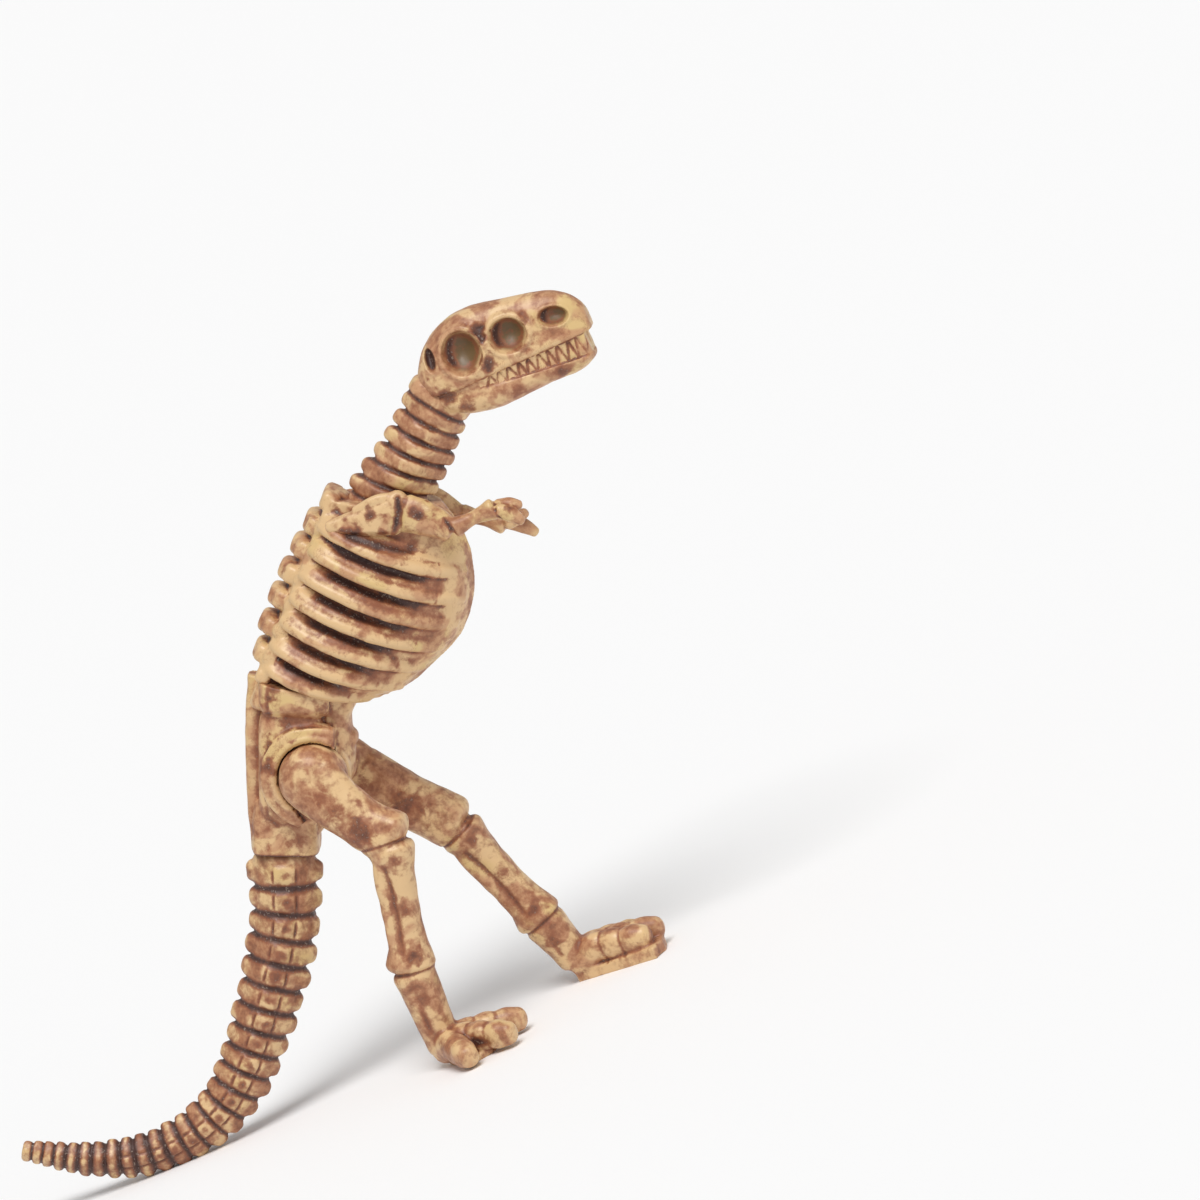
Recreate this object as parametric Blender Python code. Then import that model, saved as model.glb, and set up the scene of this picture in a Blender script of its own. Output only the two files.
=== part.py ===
# Toy dinosaur skeleton, moulded in cream plastic and rubbed with a brown wash.
# The head, neck, trunk, arms and tail are one rigid body; each leg swivels on a round peg at the hip.
# X points to the snout, Y to the animal's left, Z up. It stands on two flat soles and the underside
# of its tail. Sizes below are millimetres, measured from the hip axis in X and from the floor in Z.
import math

import bmesh
import bpy
from mathutils import Matrix, Vector

MM = 0.001
GAP = 0.3  # clearance between neighbouring pieces
HIP_HEIGHT = 64.1  # hip axis above the floor
SKULL_HALF_WIDTH = 6.8
NECK_TAPER = [(0.0, 8.4), (1.0, 6.9)]  # half depth by share of the way to the head
NECK_FLATNESS = 0.72
NECK_TILT = (50.0, 36.0)  # how far the rings lean back from upright, at the chest and the head
TAIL_TAPER = [(0.0, 7.8), (0.4, 6.5), (0.7, 4.7), (0.85, 3.8), (1.0, 2.1)]  # half depth by share
TAIL_FLATNESS = 0.76  # half width over half depth
TAIL_RINGS = 26
RIB_RADIUS = 1.45
RIB_RELIEF = 1.6  # how far the ribs stand out of the wall behind them
HEAD_RADIUS = 7.0  # round thigh head that turns in the pelvis
SOCKET_FLOOR = 6.0  # where the socket ends, from the middle plane
COLLAR_HALF_WIDTH = 11.0
BONE = (0.70, 0.53, 0.31, 1.0)
WASHED = (0.58, 0.40, 0.23, 1.0)

# Leaning frames: the trunk runs up the back at 44 degrees, the pelvis at 65.5 degrees.
TRUNK_ORIGIN = (-3.8, 86.0)
TRUNK_ANGLE = 44.0
PELVIS_ANGLE = 65.5

MOUTH_PLANE = ((88.0, 120.3), (0.122, 0.993))  # point and upward normal in X and Z
TOOTH_LINE = 124.8
HEAD_PLANE = ((54.5, 123.5), (0.81, 0.58))  # where the neck meets the head
NECK_PLANE = ((40.0, 108.0), (0.45, 0.89))  # where the neck meets the trunk
WAIST_PLANE = ((-3.1, 86.6), (0.56, 0.83))  # where the trunk meets the pelvis
TAIL_PLANE = ((-20.7, 53.4), (0.415, 0.91))  # where the tail meets the pelvis

# Side view of the skull: X, lowest and highest Z, half width as a share of the widest.
SKULL_STATIONS = [
    (52.2, 127.0, 131.0, 0.50),
    (54.5, 120.0, 134.6, 0.82),
    (58.5, 118.0, 137.8, 0.97),
    (63.0, 118.0, 139.3, 1.00),
    (68.0, 118.0, 139.0, 0.95),
    (73.0, 118.0, 137.5, 0.86),
    (78.0, 118.0, 136.2, 0.78),
    (83.0, 118.0, 135.0, 0.72),
    (86.3, 119.0, 133.0, 0.62),
    (88.0, 121.0, 130.9, 0.46),
    (88.7, 125.0, 129.2, 0.28),
]
# Side view of the lower jaw in the same way, up to above the mouth line.
JAW_STATIONS = [
    (54.3, 122.2, 126.0, 0.62),
    (56.5, 120.0, 126.0, 0.88),
    (60.0, 118.3, 126.0, 0.98),
    (66.0, 117.3, 126.0, 0.97),
    (72.0, 117.6, 126.0, 0.90),
    (78.0, 117.8, 126.0, 0.80),
    (83.0, 117.7, 126.0, 0.74),
    (86.0, 118.7, 126.0, 0.58),
    (87.0, 119.6, 126.0, 0.36),
]
# Openings of the skull: centre X and Z, then half sizes along X, Y and Z.
SKULL_OPENINGS = {
    "orbit": ((61.8, 130.4), (3.6, 3.2, 3.6)),
    "antorbital": ((72.4, 129.3), (3.5, 2.6, 3.1)),
    "nostril": ((82.3, 130.0), (2.9, 2.4, 1.9)),
    "temple": ((56.6, 132.2), (1.1, 2.4, 2.1)),
}
# Trunk: distance up the back, depth of the belly below the back, half width.
TRUNK_STATIONS = [
    (-9.0, 17.0, 7.5),
    (3.7, 21.8, 9.8),
    (9.4, 28.2, 11.6),
    (17.1, 32.3, 12.9),
    (25.0, 35.0, 13.5),
    (33.0, 34.4, 13.5),
    (38.4, 32.1, 12.2),
    (42.5, 29.5, 10.4),
    (47.0, 24.0, 8.6),
    (50.5, 17.0, 7.0),
    (53.0, 12.0, 5.0),
]
# Half outline of one trunk section: share of the depth, share of the half width.
TRUNK_OUTLINE = [
    (0.0, 0.48),
    (0.06, 0.70),
    (0.2, 0.88),
    (0.4, 1.0),
    (0.6, 0.97),
    (0.72, 0.84),
    (0.82, 0.67),
    (0.93, 0.40),
    (1.0, 0.0),
]
RIB_PLACES = [36.0, 31.0, 25.8, 20.5, 15.2, 9.9, 4.9]  # distance up the back
KNOB_PLACES = [40.5, 34.7, 29.3, 23.6, 17.9, 12.0, 6.2]
KNOB_RISE = [1.8, 2.4, 3.3, 3.7, 3.8, 3.5, 2.5]  # height over the back
TAIL_POINTS = [
    (-13.0, 52.1),
    (-19.3, 38.2),
    (-27.6, 26.4),
    (-40.3, 12.3),
    (-50.7, 5.9),
    (-64.0, 4.3),
    (-75.9, 7.8),
    (-87.0, 14.3),
]
NECK_POINTS = [(31.0, 105.5), (38.5, 111.2), (44.8, 115.0), (50.6, 119.8), (57.0, 126.5)]
NECK_RING_POINTS = [(35.2, 109.3), (40.5, 112.2), (46.2, 116.0), (49.4, 118.9), (53.2, 122.4)]

# Each leg: the middle of the knee, ankle and heel, and the toe tips, as (X, Y, Z).
LEGS = {
    "right": {
        "side": -1,
        "knee": (9.7, -14.0, 47.1),
        "ankle": (2.6, -13.0, 21.4),
        "heel": (2.0, -12.0, 4.4),
        "toes": [(8.0, -24.3, 2.6), (17.0, -19.6, 2.9), (18.2, -9.6, 2.8)],
    },
    "left": {
        "side": 1,
        "knee": (18.0, 13.0, 38.7),
        "ankle": (25.3, 14.0, 14.6),
        "heel": (28.3, 14.5, 4.8),
        "toes": [(41.8, 21.5, 2.6), (46.6, 14.0, 2.9), (45.6, 6.3, 2.6)],
    },
}
# Each arm: shoulder, elbow, wrist and finger tips in X and Z; the left one hangs lower.
ARMS = {
    "right": {
        "side": -1,
        "shoulder": (38.8, 106.8),
        "elbow": (46.9, 100.2),
        "wrist": (57.0, 100.6),
        "fingers": [(61.6, 99.0), (61.0, 96.2)],
    },
    "left": {
        "side": 1,
        "shoulder": (38.3, 104.7),
        "elbow": (45.4, 98.1),
        "wrist": (53.8, 93.4),
        "fingers": [(58.4, 93.6), (58.2, 88.8)],
    },
}


def clear_scene():
    for item in list(bpy.data.objects):
        bpy.data.objects.remove(item, do_unlink=True)


def place(x, z, y=0.0):
    return Vector((x, y, z))


def direction(degrees):
    """Unit vector in the XZ plane, turned up from +X."""
    angle = math.radians(degrees)
    return Vector((math.cos(angle), 0.0, math.sin(angle)))


def trunk_place(along, depth, y=0.0):
    up_back = direction(TRUNK_ANGLE)
    to_belly = direction(TRUNK_ANGLE - 90.0)
    return place(*TRUNK_ORIGIN, y) + up_back * along + to_belly * depth


def pelvis_place(forward, up, y=0.0):
    to_front = direction(PELVIS_ANGLE - 90.0)
    return place(0.0, HIP_HEIGHT, y) + to_front * forward + direction(PELVIS_ANGLE) * up


def smooth_path(points, steps):
    """Points of a curve through the given points, with steps pieces between neighbours."""
    ends = [points[0] * 2 - points[1]] + list(points) + [points[-1] * 2 - points[-2]]
    result = []
    for i in range(len(points) - 1):
        a, b, c, d = ends[i : i + 4]
        for k in range(steps):
            t = k / steps
            result.append(
                (b * 2 + (c - a) * t + (a * 2 - b * 5 + c * 4 - d) * t * t
                 + (b * 3 - a - c * 3 + d) * t * t * t) * 0.5
            )
    result.append(points[-1].copy())
    return result


def along_path(path, distance):
    """Point and direction at a distance along a list of points."""
    for a, b in zip(path, path[1:]):
        length = (b - a).length
        if distance <= length or b is path[-1]:
            return a + (b - a) * (distance / length), (b - a).normalized()
        distance -= length
    return path[-1], (path[-1] - path[-2]).normalized()


def path_length(path):
    return sum((b - a).length for a, b in zip(path, path[1:]))


def make_object(name, mesh):
    item = bpy.data.objects.new(name, mesh)
    bpy.context.scene.collection.objects.link(item)
    return item


def from_bmesh(name, bm):
    bmesh.ops.recalc_face_normals(bm, faces=bm.faces)
    if bm.calc_volume(signed=True) < 0:
        bmesh.ops.reverse_faces(bm, faces=bm.faces)
    mesh = bpy.data.meshes.new(name)
    bm.to_mesh(mesh)
    bm.free()
    return make_object(name, mesh)


def loft(name, rings):
    """Closed body through rings of equally many points, with a flat cap at each end."""
    bm = bmesh.new()
    rows = [[bm.verts.new(point * MM) for point in ring] for ring in rings]
    count = len(rows[0])
    for low, high in zip(rows, rows[1:]):
        for i in range(count):
            k = (i + 1) % count
            bm.faces.new((low[i], low[k], high[k], high[i]))
    bm.faces.new(rows[0][::-1])
    bm.faces.new(rows[-1])
    return from_bmesh(name, bm)


def oval(centre, across, upward, half_across, half_up, sides, power=2.0):
    """Ring of points round centre; a power over 2 makes the oval boxier."""
    ring = []
    for i in range(sides):
        angle = 2 * math.pi * (i + 0.5) / sides
        c, s = math.cos(angle), math.sin(angle)
        a = math.copysign(abs(c) ** (2 / power), c) * half_across
        b = math.copysign(abs(s) ** (2 / power), s) * half_up
        ring.append(centre + across * a + upward * b)
    return ring


def limb(name, points, halves, side_hint=Vector((0, 1, 0)), sides=10, steps=2, power=2.4, grow=0.0):
    """Bone-like body: halves gives (half across, half deep) at each point, with rounded ends."""
    path = smooth_path(points, steps)
    rings = []
    last = len(path) - 1
    for i, point in enumerate(path):
        forward = (path[min(i + 1, last)] - path[max(i - 1, 0)]).normalized()
        across = (side_hint - forward * side_hint.dot(forward)).normalized()
        upward = forward.cross(across)
        t = i / steps
        k = min(int(t), len(halves) - 2)
        wide = halves[k][0] + (halves[k + 1][0] - halves[k][0]) * (t - k) + grow
        deep = halves[k][1] + (halves[k + 1][1] - halves[k][1]) * (t - k) + grow
        if i == 0:
            for back, share in ((0.8, 0.45), (0.5, 0.8)):
                centre = point - forward * deep * back
                rings.append(oval(centre, across, upward, wide * share, deep * share, sides, power))
        rings.append(oval(point, across, upward, wide, deep, sides, power))
        if i == last:
            for ahead, share in ((0.5, 0.8), (0.8, 0.45)):
                centre = point + forward * deep * ahead
                rings.append(oval(centre, across, upward, wide * share, deep * share, sides, power))
    return loft(name, rings)


def ball(name, centre, halves, segments=14, rings=8):
    bm = bmesh.new()
    bmesh.ops.create_uvsphere(bm, u_segments=segments, v_segments=rings, radius=1.0)
    bm.transform(Matrix.Translation(centre * MM) @ Matrix.Diagonal((*[h * MM for h in halves], 1.0)))
    return from_bmesh(name, bm)


def block(name, corners_low, corners_high, frame, bevel=0.0):
    """Box given by its low and high corners in a leaning frame, with its edges rounded."""
    bm = bmesh.new()
    bmesh.ops.create_cube(bm, size=1.0)
    low, high = Vector(corners_low), Vector(corners_high)
    middle, size = (low + high) / 2, high - low
    bm.transform(Matrix.Translation(middle) @ Matrix.Diagonal((*size, 1.0)))
    if bevel:
        bmesh.ops.bevel(bm, geom=bm.edges[:], offset=bevel, segments=2, profile=0.5, affect="EDGES")
    bm.transform(Matrix.Scale(MM, 4) @ frame)
    return from_bmesh(name, bm)


def leaning_frame(origin, degrees):
    """Local X along the direction, local Y to the right, local Z towards the front of it."""
    along, front = direction(degrees), direction(degrees - 90.0)
    rows = Matrix((along, Vector((0, -1, 0)), front)).transposed().to_4x4()
    return Matrix.Translation(origin) @ rows


def disc(name, centre, radius, y_from, y_to, sides=28):
    bm = bmesh.new()
    length = abs(y_to - y_from)
    bmesh.ops.create_cone(
        bm, cap_ends=True, segments=sides, radius1=radius, radius2=radius, depth=length
    )
    turn = Matrix.Rotation(math.pi / 2, 4, "X")
    middle = Vector((centre.x, (y_from + y_to) / 2, centre.z))
    bm.transform(Matrix.Scale(MM, 4) @ Matrix.Translation(middle) @ turn)
    return from_bmesh(name, bm)


def half_space(point, normal, keep_gap=True):
    """Large box that starts half a gap before a plane and fills the side its normal points to."""
    reach = 400.0
    normal = normal.normalized()
    start = point - normal * (GAP / 2 if keep_gap else 0.0)
    bm = bmesh.new()
    bmesh.ops.create_cube(bm, size=reach)
    turn = normal.to_track_quat("Z", "Y").to_matrix().to_4x4()
    bm.transform(
        Matrix.Scale(MM, 4) @ Matrix.Translation(start + normal * (reach / 2)) @ turn
    )
    return from_bmesh("half_space", bm)


def apply_modifiers(item):
    depsgraph = bpy.context.evaluated_depsgraph_get()
    mesh = bpy.data.meshes.new_from_object(item.evaluated_get(depsgraph))
    item.modifiers.clear()
    item.data = mesh


def join_all(item, others):
    """One union of item with a collection of closed objects, which are then removed."""
    group = bpy.data.collections.new("pieces")
    for other in others:
        group.objects.link(other)
    modifier = item.modifiers.new("join", "BOOLEAN")
    modifier.operation = "UNION"
    modifier.operand_type = "COLLECTION"
    modifier.collection = group
    apply_modifiers(item)
    for other in others:
        bpy.data.objects.remove(other, do_unlink=True)
    bpy.data.collections.remove(group)


def cut_away(item, cutters):
    """Cuts one closed object after another out of item and removes the cutters."""
    for cutter in cutters:
        modifier = item.modifiers.new("cut", "BOOLEAN")
        modifier.operation = "DIFFERENCE"
        modifier.object = cutter
        apply_modifiers(item)
        bpy.data.objects.remove(cutter, do_unlink=True)


def keep_largest(item):
    """Drops every loose body but the largest one."""
    bm = bmesh.new()
    bm.from_mesh(item.data)
    bmesh.ops.remove_doubles(bm, verts=bm.verts, dist=0.000002)
    bmesh.ops.triangulate(bm, faces=bm.faces)
    left = set(bm.faces)
    bodies = []
    while left:
        body = {left.pop()}
        front = list(body)
        while front:
            face = front.pop()
            for edge in face.edges:
                for near in edge.link_faces:
                    if near in left:
                        left.discard(near)
                        body.add(near)
                        front.append(near)
        bodies.append(body)
    largest = max(bodies, key=lambda body: sum(face.calc_area() for face in body))
    scraps = [face for face in bm.faces if face not in largest]
    bmesh.ops.delete(bm, geom=scraps, context="FACES")
    loose = [v for v in bm.verts if not v.link_faces]
    bmesh.ops.delete(bm, geom=loose, context="VERTS")
    bm.to_mesh(item.data)
    bm.free()


def node(name, pieces, cutters=(), colour=BONE):
    """Joins the pieces, takes the cutters away and gives the result its material."""
    base = pieces[0]
    if len(pieces) > 1:
        join_all(base, pieces[1:])
    cut_away(base, cutters)
    keep_largest(base)
    base.name = name
    base.data.name = name
    material = bpy.data.materials.new(name + "_plastic")
    material.use_nodes = True
    shader = material.node_tree.nodes["Principled BSDF"]
    shader.inputs["Base Color"].default_value = colour
    shader.inputs["Roughness"].default_value = 0.45
    shader.inputs["Metallic"].default_value = 0.0
    base.data.materials.clear()
    base.data.materials.append(material)
    base.data.shade_smooth()
    base.data.set_sharp_from_angle(angle=math.radians(40))
    return base


def plane_cutter(plane, sign):
    (x, z), (nx, nz) = plane
    return half_space(place(x, z), Vector((nx, 0.0, nz)) * sign)


def floor_cutter():
    return half_space(Vector((0, 0, 0)), Vector((0, 0, -1)), keep_gap=False)


def ring_body(name, centre, forward, length, half_wide, half_deep, sides=10):
    """One vertebra: a short drum with a knob above, a smaller one below and a boss on each side."""
    across = Vector((0, 1, 0))
    upward = forward.cross(across)
    if upward.z < 0:
        upward = -upward
    rings = []
    for place_share, size in ((-0.5, 0.88), (0.0, 1.02), (0.5, 0.88)):
        ring = []
        for i in range(sides):
            angle = 2 * math.pi * i / sides
            lobe = 1.0 - 0.09 * (1 - math.cos(4 * angle)) / 2
            point = centre + forward * length * place_share
            point += across * (math.cos(angle) * half_wide * lobe * size)
            point += upward * (math.sin(angle) * half_deep * lobe * size)
            ring.append(point)
        rings.append(ring)
    return loft(name, rings)


def skull_section(station, narrower=0.0, sides=16):
    x, low, high, share = station
    half = SKULL_HALF_WIDTH * share - narrower
    ring = []
    for i in range(sides):
        angle = 2 * math.pi * (i + 0.5) / sides
        c, s = math.cos(angle), math.sin(angle)
        y = math.copysign(abs(c) ** 0.75, c) * half
        z = math.copysign(abs(s) ** 0.75, s)
        taper = 1.0 - 0.22 * max(z, 0.0)
        ring.append(place(x, (low + high) / 2 + z * (high - low) / 2, y * taper))
    return ring


def skull_half_width(x):
    for a, b in zip(SKULL_STATIONS, SKULL_STATIONS[1:]):
        if a[0] <= x <= b[0]:
            t = (x - a[0]) / (b[0] - a[0])
            return SKULL_HALF_WIDTH * (a[3] + (b[3] - a[3]) * t)
    return 0.0


def mouth_height(x):
    (px, pz), (nx, nz) = MOUTH_PLANE
    return pz - (x - px) * nx / nz


def tooth(name, x, side, root_z, tip_z, y_in, y_out, half_root=0.8, half_tip=0.13):
    rings = []
    for z, half in ((root_z, half_root), (tip_z, half_tip)):
        rings.append([
            place(x - half, z, side * y_in),
            place(x + half, z, side * y_in),
            place(x + half, z, side * y_out),
            place(x - half, z, side * y_out),
        ])
    return loft(name, rings)


def make_head():
    pitch, first, upper_count = 1.95, 86.0, 10
    upper = loft("skull_shell", [skull_section(s) for s in SKULL_STATIONS])
    cut_away(upper, [half_space(place(0, TOOTH_LINE), Vector((0, 0, -1)), False)])
    pits = []
    for (x, z), (half_x, half_y, half_z) in SKULL_OPENINGS.values():
        for side in (-1, 1):
            y = side * skull_half_width(x) * 0.95
            pits.append(ball("pit", place(x, z, y), (half_x, half_y, half_z)))
    cut_away(upper, pits)
    core = loft("tooth_wall", [skull_section(s, narrower=0.9) for s in SKULL_STATIONS[1:-2]])
    cut_away(core, [half_space(place(0, TOOTH_LINE + 1.5), Vector((0, 0, 1)))])
    teeth_up, teeth_low = [], []
    for i in range(upper_count):
        for side in (-1, 1):
            x = first - pitch * i
            reach = 0.62 * (TOOTH_LINE - mouth_height(x))
            wall = skull_half_width(x)
            teeth_up.append(tooth("tooth", x, side, TOOTH_LINE + 0.7, TOOTH_LINE - reach,
                                  wall - 1.3, wall - 0.2))
            x -= pitch / 2
            reach = 0.62 * (TOOTH_LINE - mouth_height(x))
            wall = skull_half_width(x)
            teeth_low.append(tooth("tooth", x, side, mouth_height(x) - 0.7, mouth_height(x) + reach,
                                   wall - 0.5, wall + 0.15))
    node("skull", [upper, core] + teeth_up,
         [plane_cutter(MOUTH_PLANE, -1), plane_cutter(HEAD_PLANE, -1)])
    jaw = loft("jaw_shell", [skull_section(s) for s in JAW_STATIONS])
    cut_away(jaw, [plane_cutter(MOUTH_PLANE, 1), plane_cutter(HEAD_PLANE, -1)])
    node("lower_jaw", [jaw] + teeth_low)


def chain_places(path, count, first_pitch, last_pitch):
    """Distances along the path of evenly changing steps that fill it."""
    pitches = [first_pitch + (last_pitch - first_pitch) * i / (count - 1) for i in range(count)]
    scale = path_length(path) / sum(pitches)
    places, distance = [], 0.0
    for pitch in pitches:
        places.append((distance + pitch * scale / 2, pitch * scale))
        distance += pitch * scale
    return places


def taper(table, share):
    for a, b in zip(table, table[1:]):
        if share <= b[0]:
            return a[1] + (b[1] - a[1]) * (share - a[0]) / (b[0] - a[0])
    return table[-1][1]


def vertebrae(path, count, pitches, table, flatness, groove=0.22, tilt=None):
    """Rings along a path, each as deep as its share of the way asks and square to it or tilted."""
    bodies = []
    for distance, pitch in chain_places(path, count, *pitches):
        centre, forward = along_path(path, distance)
        share = distance / path_length(path)
        if tilt:
            forward = direction(tilt[0] + (tilt[1] - tilt[0]) * share)
        deep = taper(table, share)
        bodies.append(ring_body("ring", centre, forward, pitch * (1 - groove), deep * flatness, deep))
    return bodies


def make_neck():
    path = smooth_path([place(x, z) for x, z in NECK_RING_POINTS], 4)
    core = limb("core", [place(x, z) for x, z in NECK_POINTS],
                [(4.8, 6.4), (4.7, 6.2), (4.4, 5.6), (4.2, 5.4), (4.6, 5.8)], steps=2)
    rings = vertebrae(path, 6, (3.9, 3.6), NECK_TAPER, NECK_FLATNESS, tilt=NECK_TILT)
    node("neck", [core] + rings, [plane_cutter(NECK_PLANE, -1), plane_cutter(HEAD_PLANE, 1)])


def make_tail():
    path = smooth_path([place(x, z) for x, z in TAIL_POINTS], 5)
    rings = vertebrae(path, TAIL_RINGS, (4.65, 2.5), TAIL_TAPER, TAIL_FLATNESS)
    starts = [0, 8, 17, TAIL_RINGS]
    places = chain_places(path, TAIL_RINGS, 4.65, 2.5)
    cuts = []
    for start in starts[1:3]:
        point, forward = along_path(path, places[start][0] - places[start][1] / 2)
        cuts.append((point, forward))
    for i, name in enumerate(("tail_base", "tail_middle", "tail_tip")):
        first, last = starts[i], starts[i + 1]
        stops = [places[k][0] for k in range(first, last, 2)] + [places[last - 1][0]]
        points = [along_path(path, stop)[0] for stop in stops]
        deeps = [taper(TAIL_TAPER, stop / path_length(path)) * 0.8 for stop in stops]
        halves = [(deep * TAIL_FLATNESS, deep) for deep in deeps]
        core = limb("core", points, halves, steps=1, sides=10)
        cutters = [floor_cutter()]
        if i == 0:
            cutters.append(plane_cutter(TAIL_PLANE, 1))
        if i > 0:
            cutters.append(half_space(cuts[i - 1][0], -cuts[i - 1][1]))
        if i < 2:
            cutters.append(half_space(*cuts[i]))
        node(name, [core] + rings[first:last], cutters, WASHED)


def trunk_half_section(station, side):
    along, belly, half = station
    ring = [trunk_place(along, belly, side * GAP / 2), trunk_place(along, 0.3, side * GAP / 2)]
    for depth_share, width_share in TRUNK_OUTLINE[:-1]:
        inset = RIB_RELIEF if 0.0 < depth_share < 0.75 else 0.0
        depth = 0.3 + (belly - 0.3) * depth_share
        ring.append(trunk_place(along, depth, side * (half * width_share - inset)))
    return ring


def trunk_values(along):
    for a, b in zip(TRUNK_STATIONS, TRUNK_STATIONS[1:]):
        if a[0] <= along <= b[0]:
            t = (along - a[0]) / (b[0] - a[0])
            return a[1] + (b[1] - a[1]) * t, a[2] + (b[2] - a[2]) * t
    return TRUNK_STATIONS[-1][1:]


def rib(along, side):
    belly, half = trunk_values(along)
    points = []
    for depth_share, width_share in TRUNK_OUTLINE[1:7]:
        y = side * (half * width_share - RIB_RADIUS + 0.1)
        depth = 0.3 + (belly - 0.3) * depth_share
        points.append(trunk_place(along + 1.8 * depth_share, depth, y))
    halves = [(RIB_RADIUS, RIB_RADIUS)] * len(points)
    return limb("rib", points, halves, direction(TRUNK_ANGLE), sides=8, steps=1)


def arm_pieces(name, grow=0.0):
    arm = ARMS[name]
    side = arm["side"]
    y_blade, y_arm = side * 8.6, side * 10.0
    shoulder, elbow = place(*arm["shoulder"], side * 9.2), place(*arm["elbow"], y_arm)
    wrist = place(*arm["wrist"], y_arm)
    blade = limb("blade", [place(24.5, 110.0, y_blade), place(31.5, 108.4, y_blade), shoulder],
                 [(1.6, 1.7), (2.2, 2.9), (2.6, 4.0)], grow=grow)
    upper = limb("upper_arm", [shoulder, (shoulder + elbow) / 2 + place(0.2, 0.5), elbow],
                 [(2.6, 4.0), (2.5, 3.4), (2.4, 2.6)], grow=grow)
    middle = (elbow + wrist) / 2
    fore = limb("forearm", [elbow, middle, wrist], [(2.2, 2.3), (1.6, 1.7), (2.2, 2.5)], grow=grow)
    pieces = [blade, upper, fore]
    for i, tip in enumerate(arm["fingers"]):
        y = y_arm + side * (0.9 if i else -0.9)
        pieces.append(limb("finger", [wrist, place(*tip, y)], [(1.7, 2.0), (1.1, 1.3)], grow=grow))
    return pieces


def make_trunk():
    bar = block("back_bar", (-12.0, -4.5, -0.6), (58.0, 4.5, 3.0),
                leaning_frame(place(*TRUNK_ORIGIN), TRUNK_ANGLE))
    knobs = []
    for along, rise in zip(KNOB_PLACES, KNOB_RISE):
        knobs.append(block("knob", (along - 2.0, -2.6, -rise), (along + 2.0, 2.6, 1.5),
                           leaning_frame(place(*TRUNK_ORIGIN), TRUNK_ANGLE), bevel=1.0))
    node("backbone", [bar] + knobs, [plane_cutter(NECK_PLANE, 1), plane_cutter(WAIST_PLANE, -1)])
    for name, side in (("right", -1), ("left", 1)):
        core = loft("core", [trunk_half_section(s, side) for s in TRUNK_STATIONS])
        ribs = [rib(along, side) for along in RIB_PLACES]
        slot = block("slot", (-30.0, -4.5 - GAP, -20.0), (80.0, 4.5 + GAP, 3.0 + GAP),
                     leaning_frame(place(*TRUNK_ORIGIN), TRUNK_ANGLE))
        cutters = [slot, plane_cutter(NECK_PLANE, 1), plane_cutter(WAIST_PLANE, -1)]
        node("ribs_" + name, [core] + ribs, cutters + arm_pieces(name, grow=GAP))
        node("arm_" + name, arm_pieces(name))


def make_pelvis():
    frame = leaning_frame(place(0.0, HIP_HEIGHT), PELVIS_ANGLE)
    plate = block("plate", (-24.0, -2.6, -14.5), (25.6, 2.6, -9.0), frame, bevel=0.6)
    ilium = block("ilium", (-10.5, -8.6, -12.4), (26.0, 8.6, 3.8), frame, bevel=1.5)
    root = block("tail_root", (-24.0, -5.6, -13.0), (-4.0, 5.6, -0.4), frame, bevel=1.5)
    pubis = limb("pubis", [pelvis_place(4.0, 18.6), pelvis_place(4.2, 9.5), pelvis_place(3.0, 2.0)],
                 [(5.0, 4.8), (4.2, 2.9), (5.0, 4.2)])
    ischium = limb("ischium", [pelvis_place(-2.0, -4.0), pelvis_place(-1.5, -12.0)],
                   [(5.5, 5.0), (4.0, 3.2)])
    hip = place(0.0, HIP_HEIGHT)
    pieces = [ilium, plate, root, pubis, ischium]
    pieces.append(disc("hub", hip, 7.0, -5.6, 5.6))
    for side in (-1, 1):
        pieces.append(disc("collar", hip, 9.4, side * 5.0, side * COLLAR_HALF_WIDTH))
    cutters = [plane_cutter(WAIST_PLANE, 1), plane_cutter(TAIL_PLANE, -1)]
    for side in (-1, 1):
        cutters.append(disc("socket", hip, HEAD_RADIUS + GAP, side * SOCKET_FLOOR, side * 30.0))
        # The collar is open to the front and below, where the thigh swings.
        low, high = sorted((side * 5.6, side * 30.0))
        cutters.append(block("opening", (-40.0, low, 0.5), (5.0, high, 40.0), frame))
        cutters.append(block("clearance", (-40.0, low, -4.5), (-5.5, high, 40.0), frame))
    node("pelvis", pieces, cutters)


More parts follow.
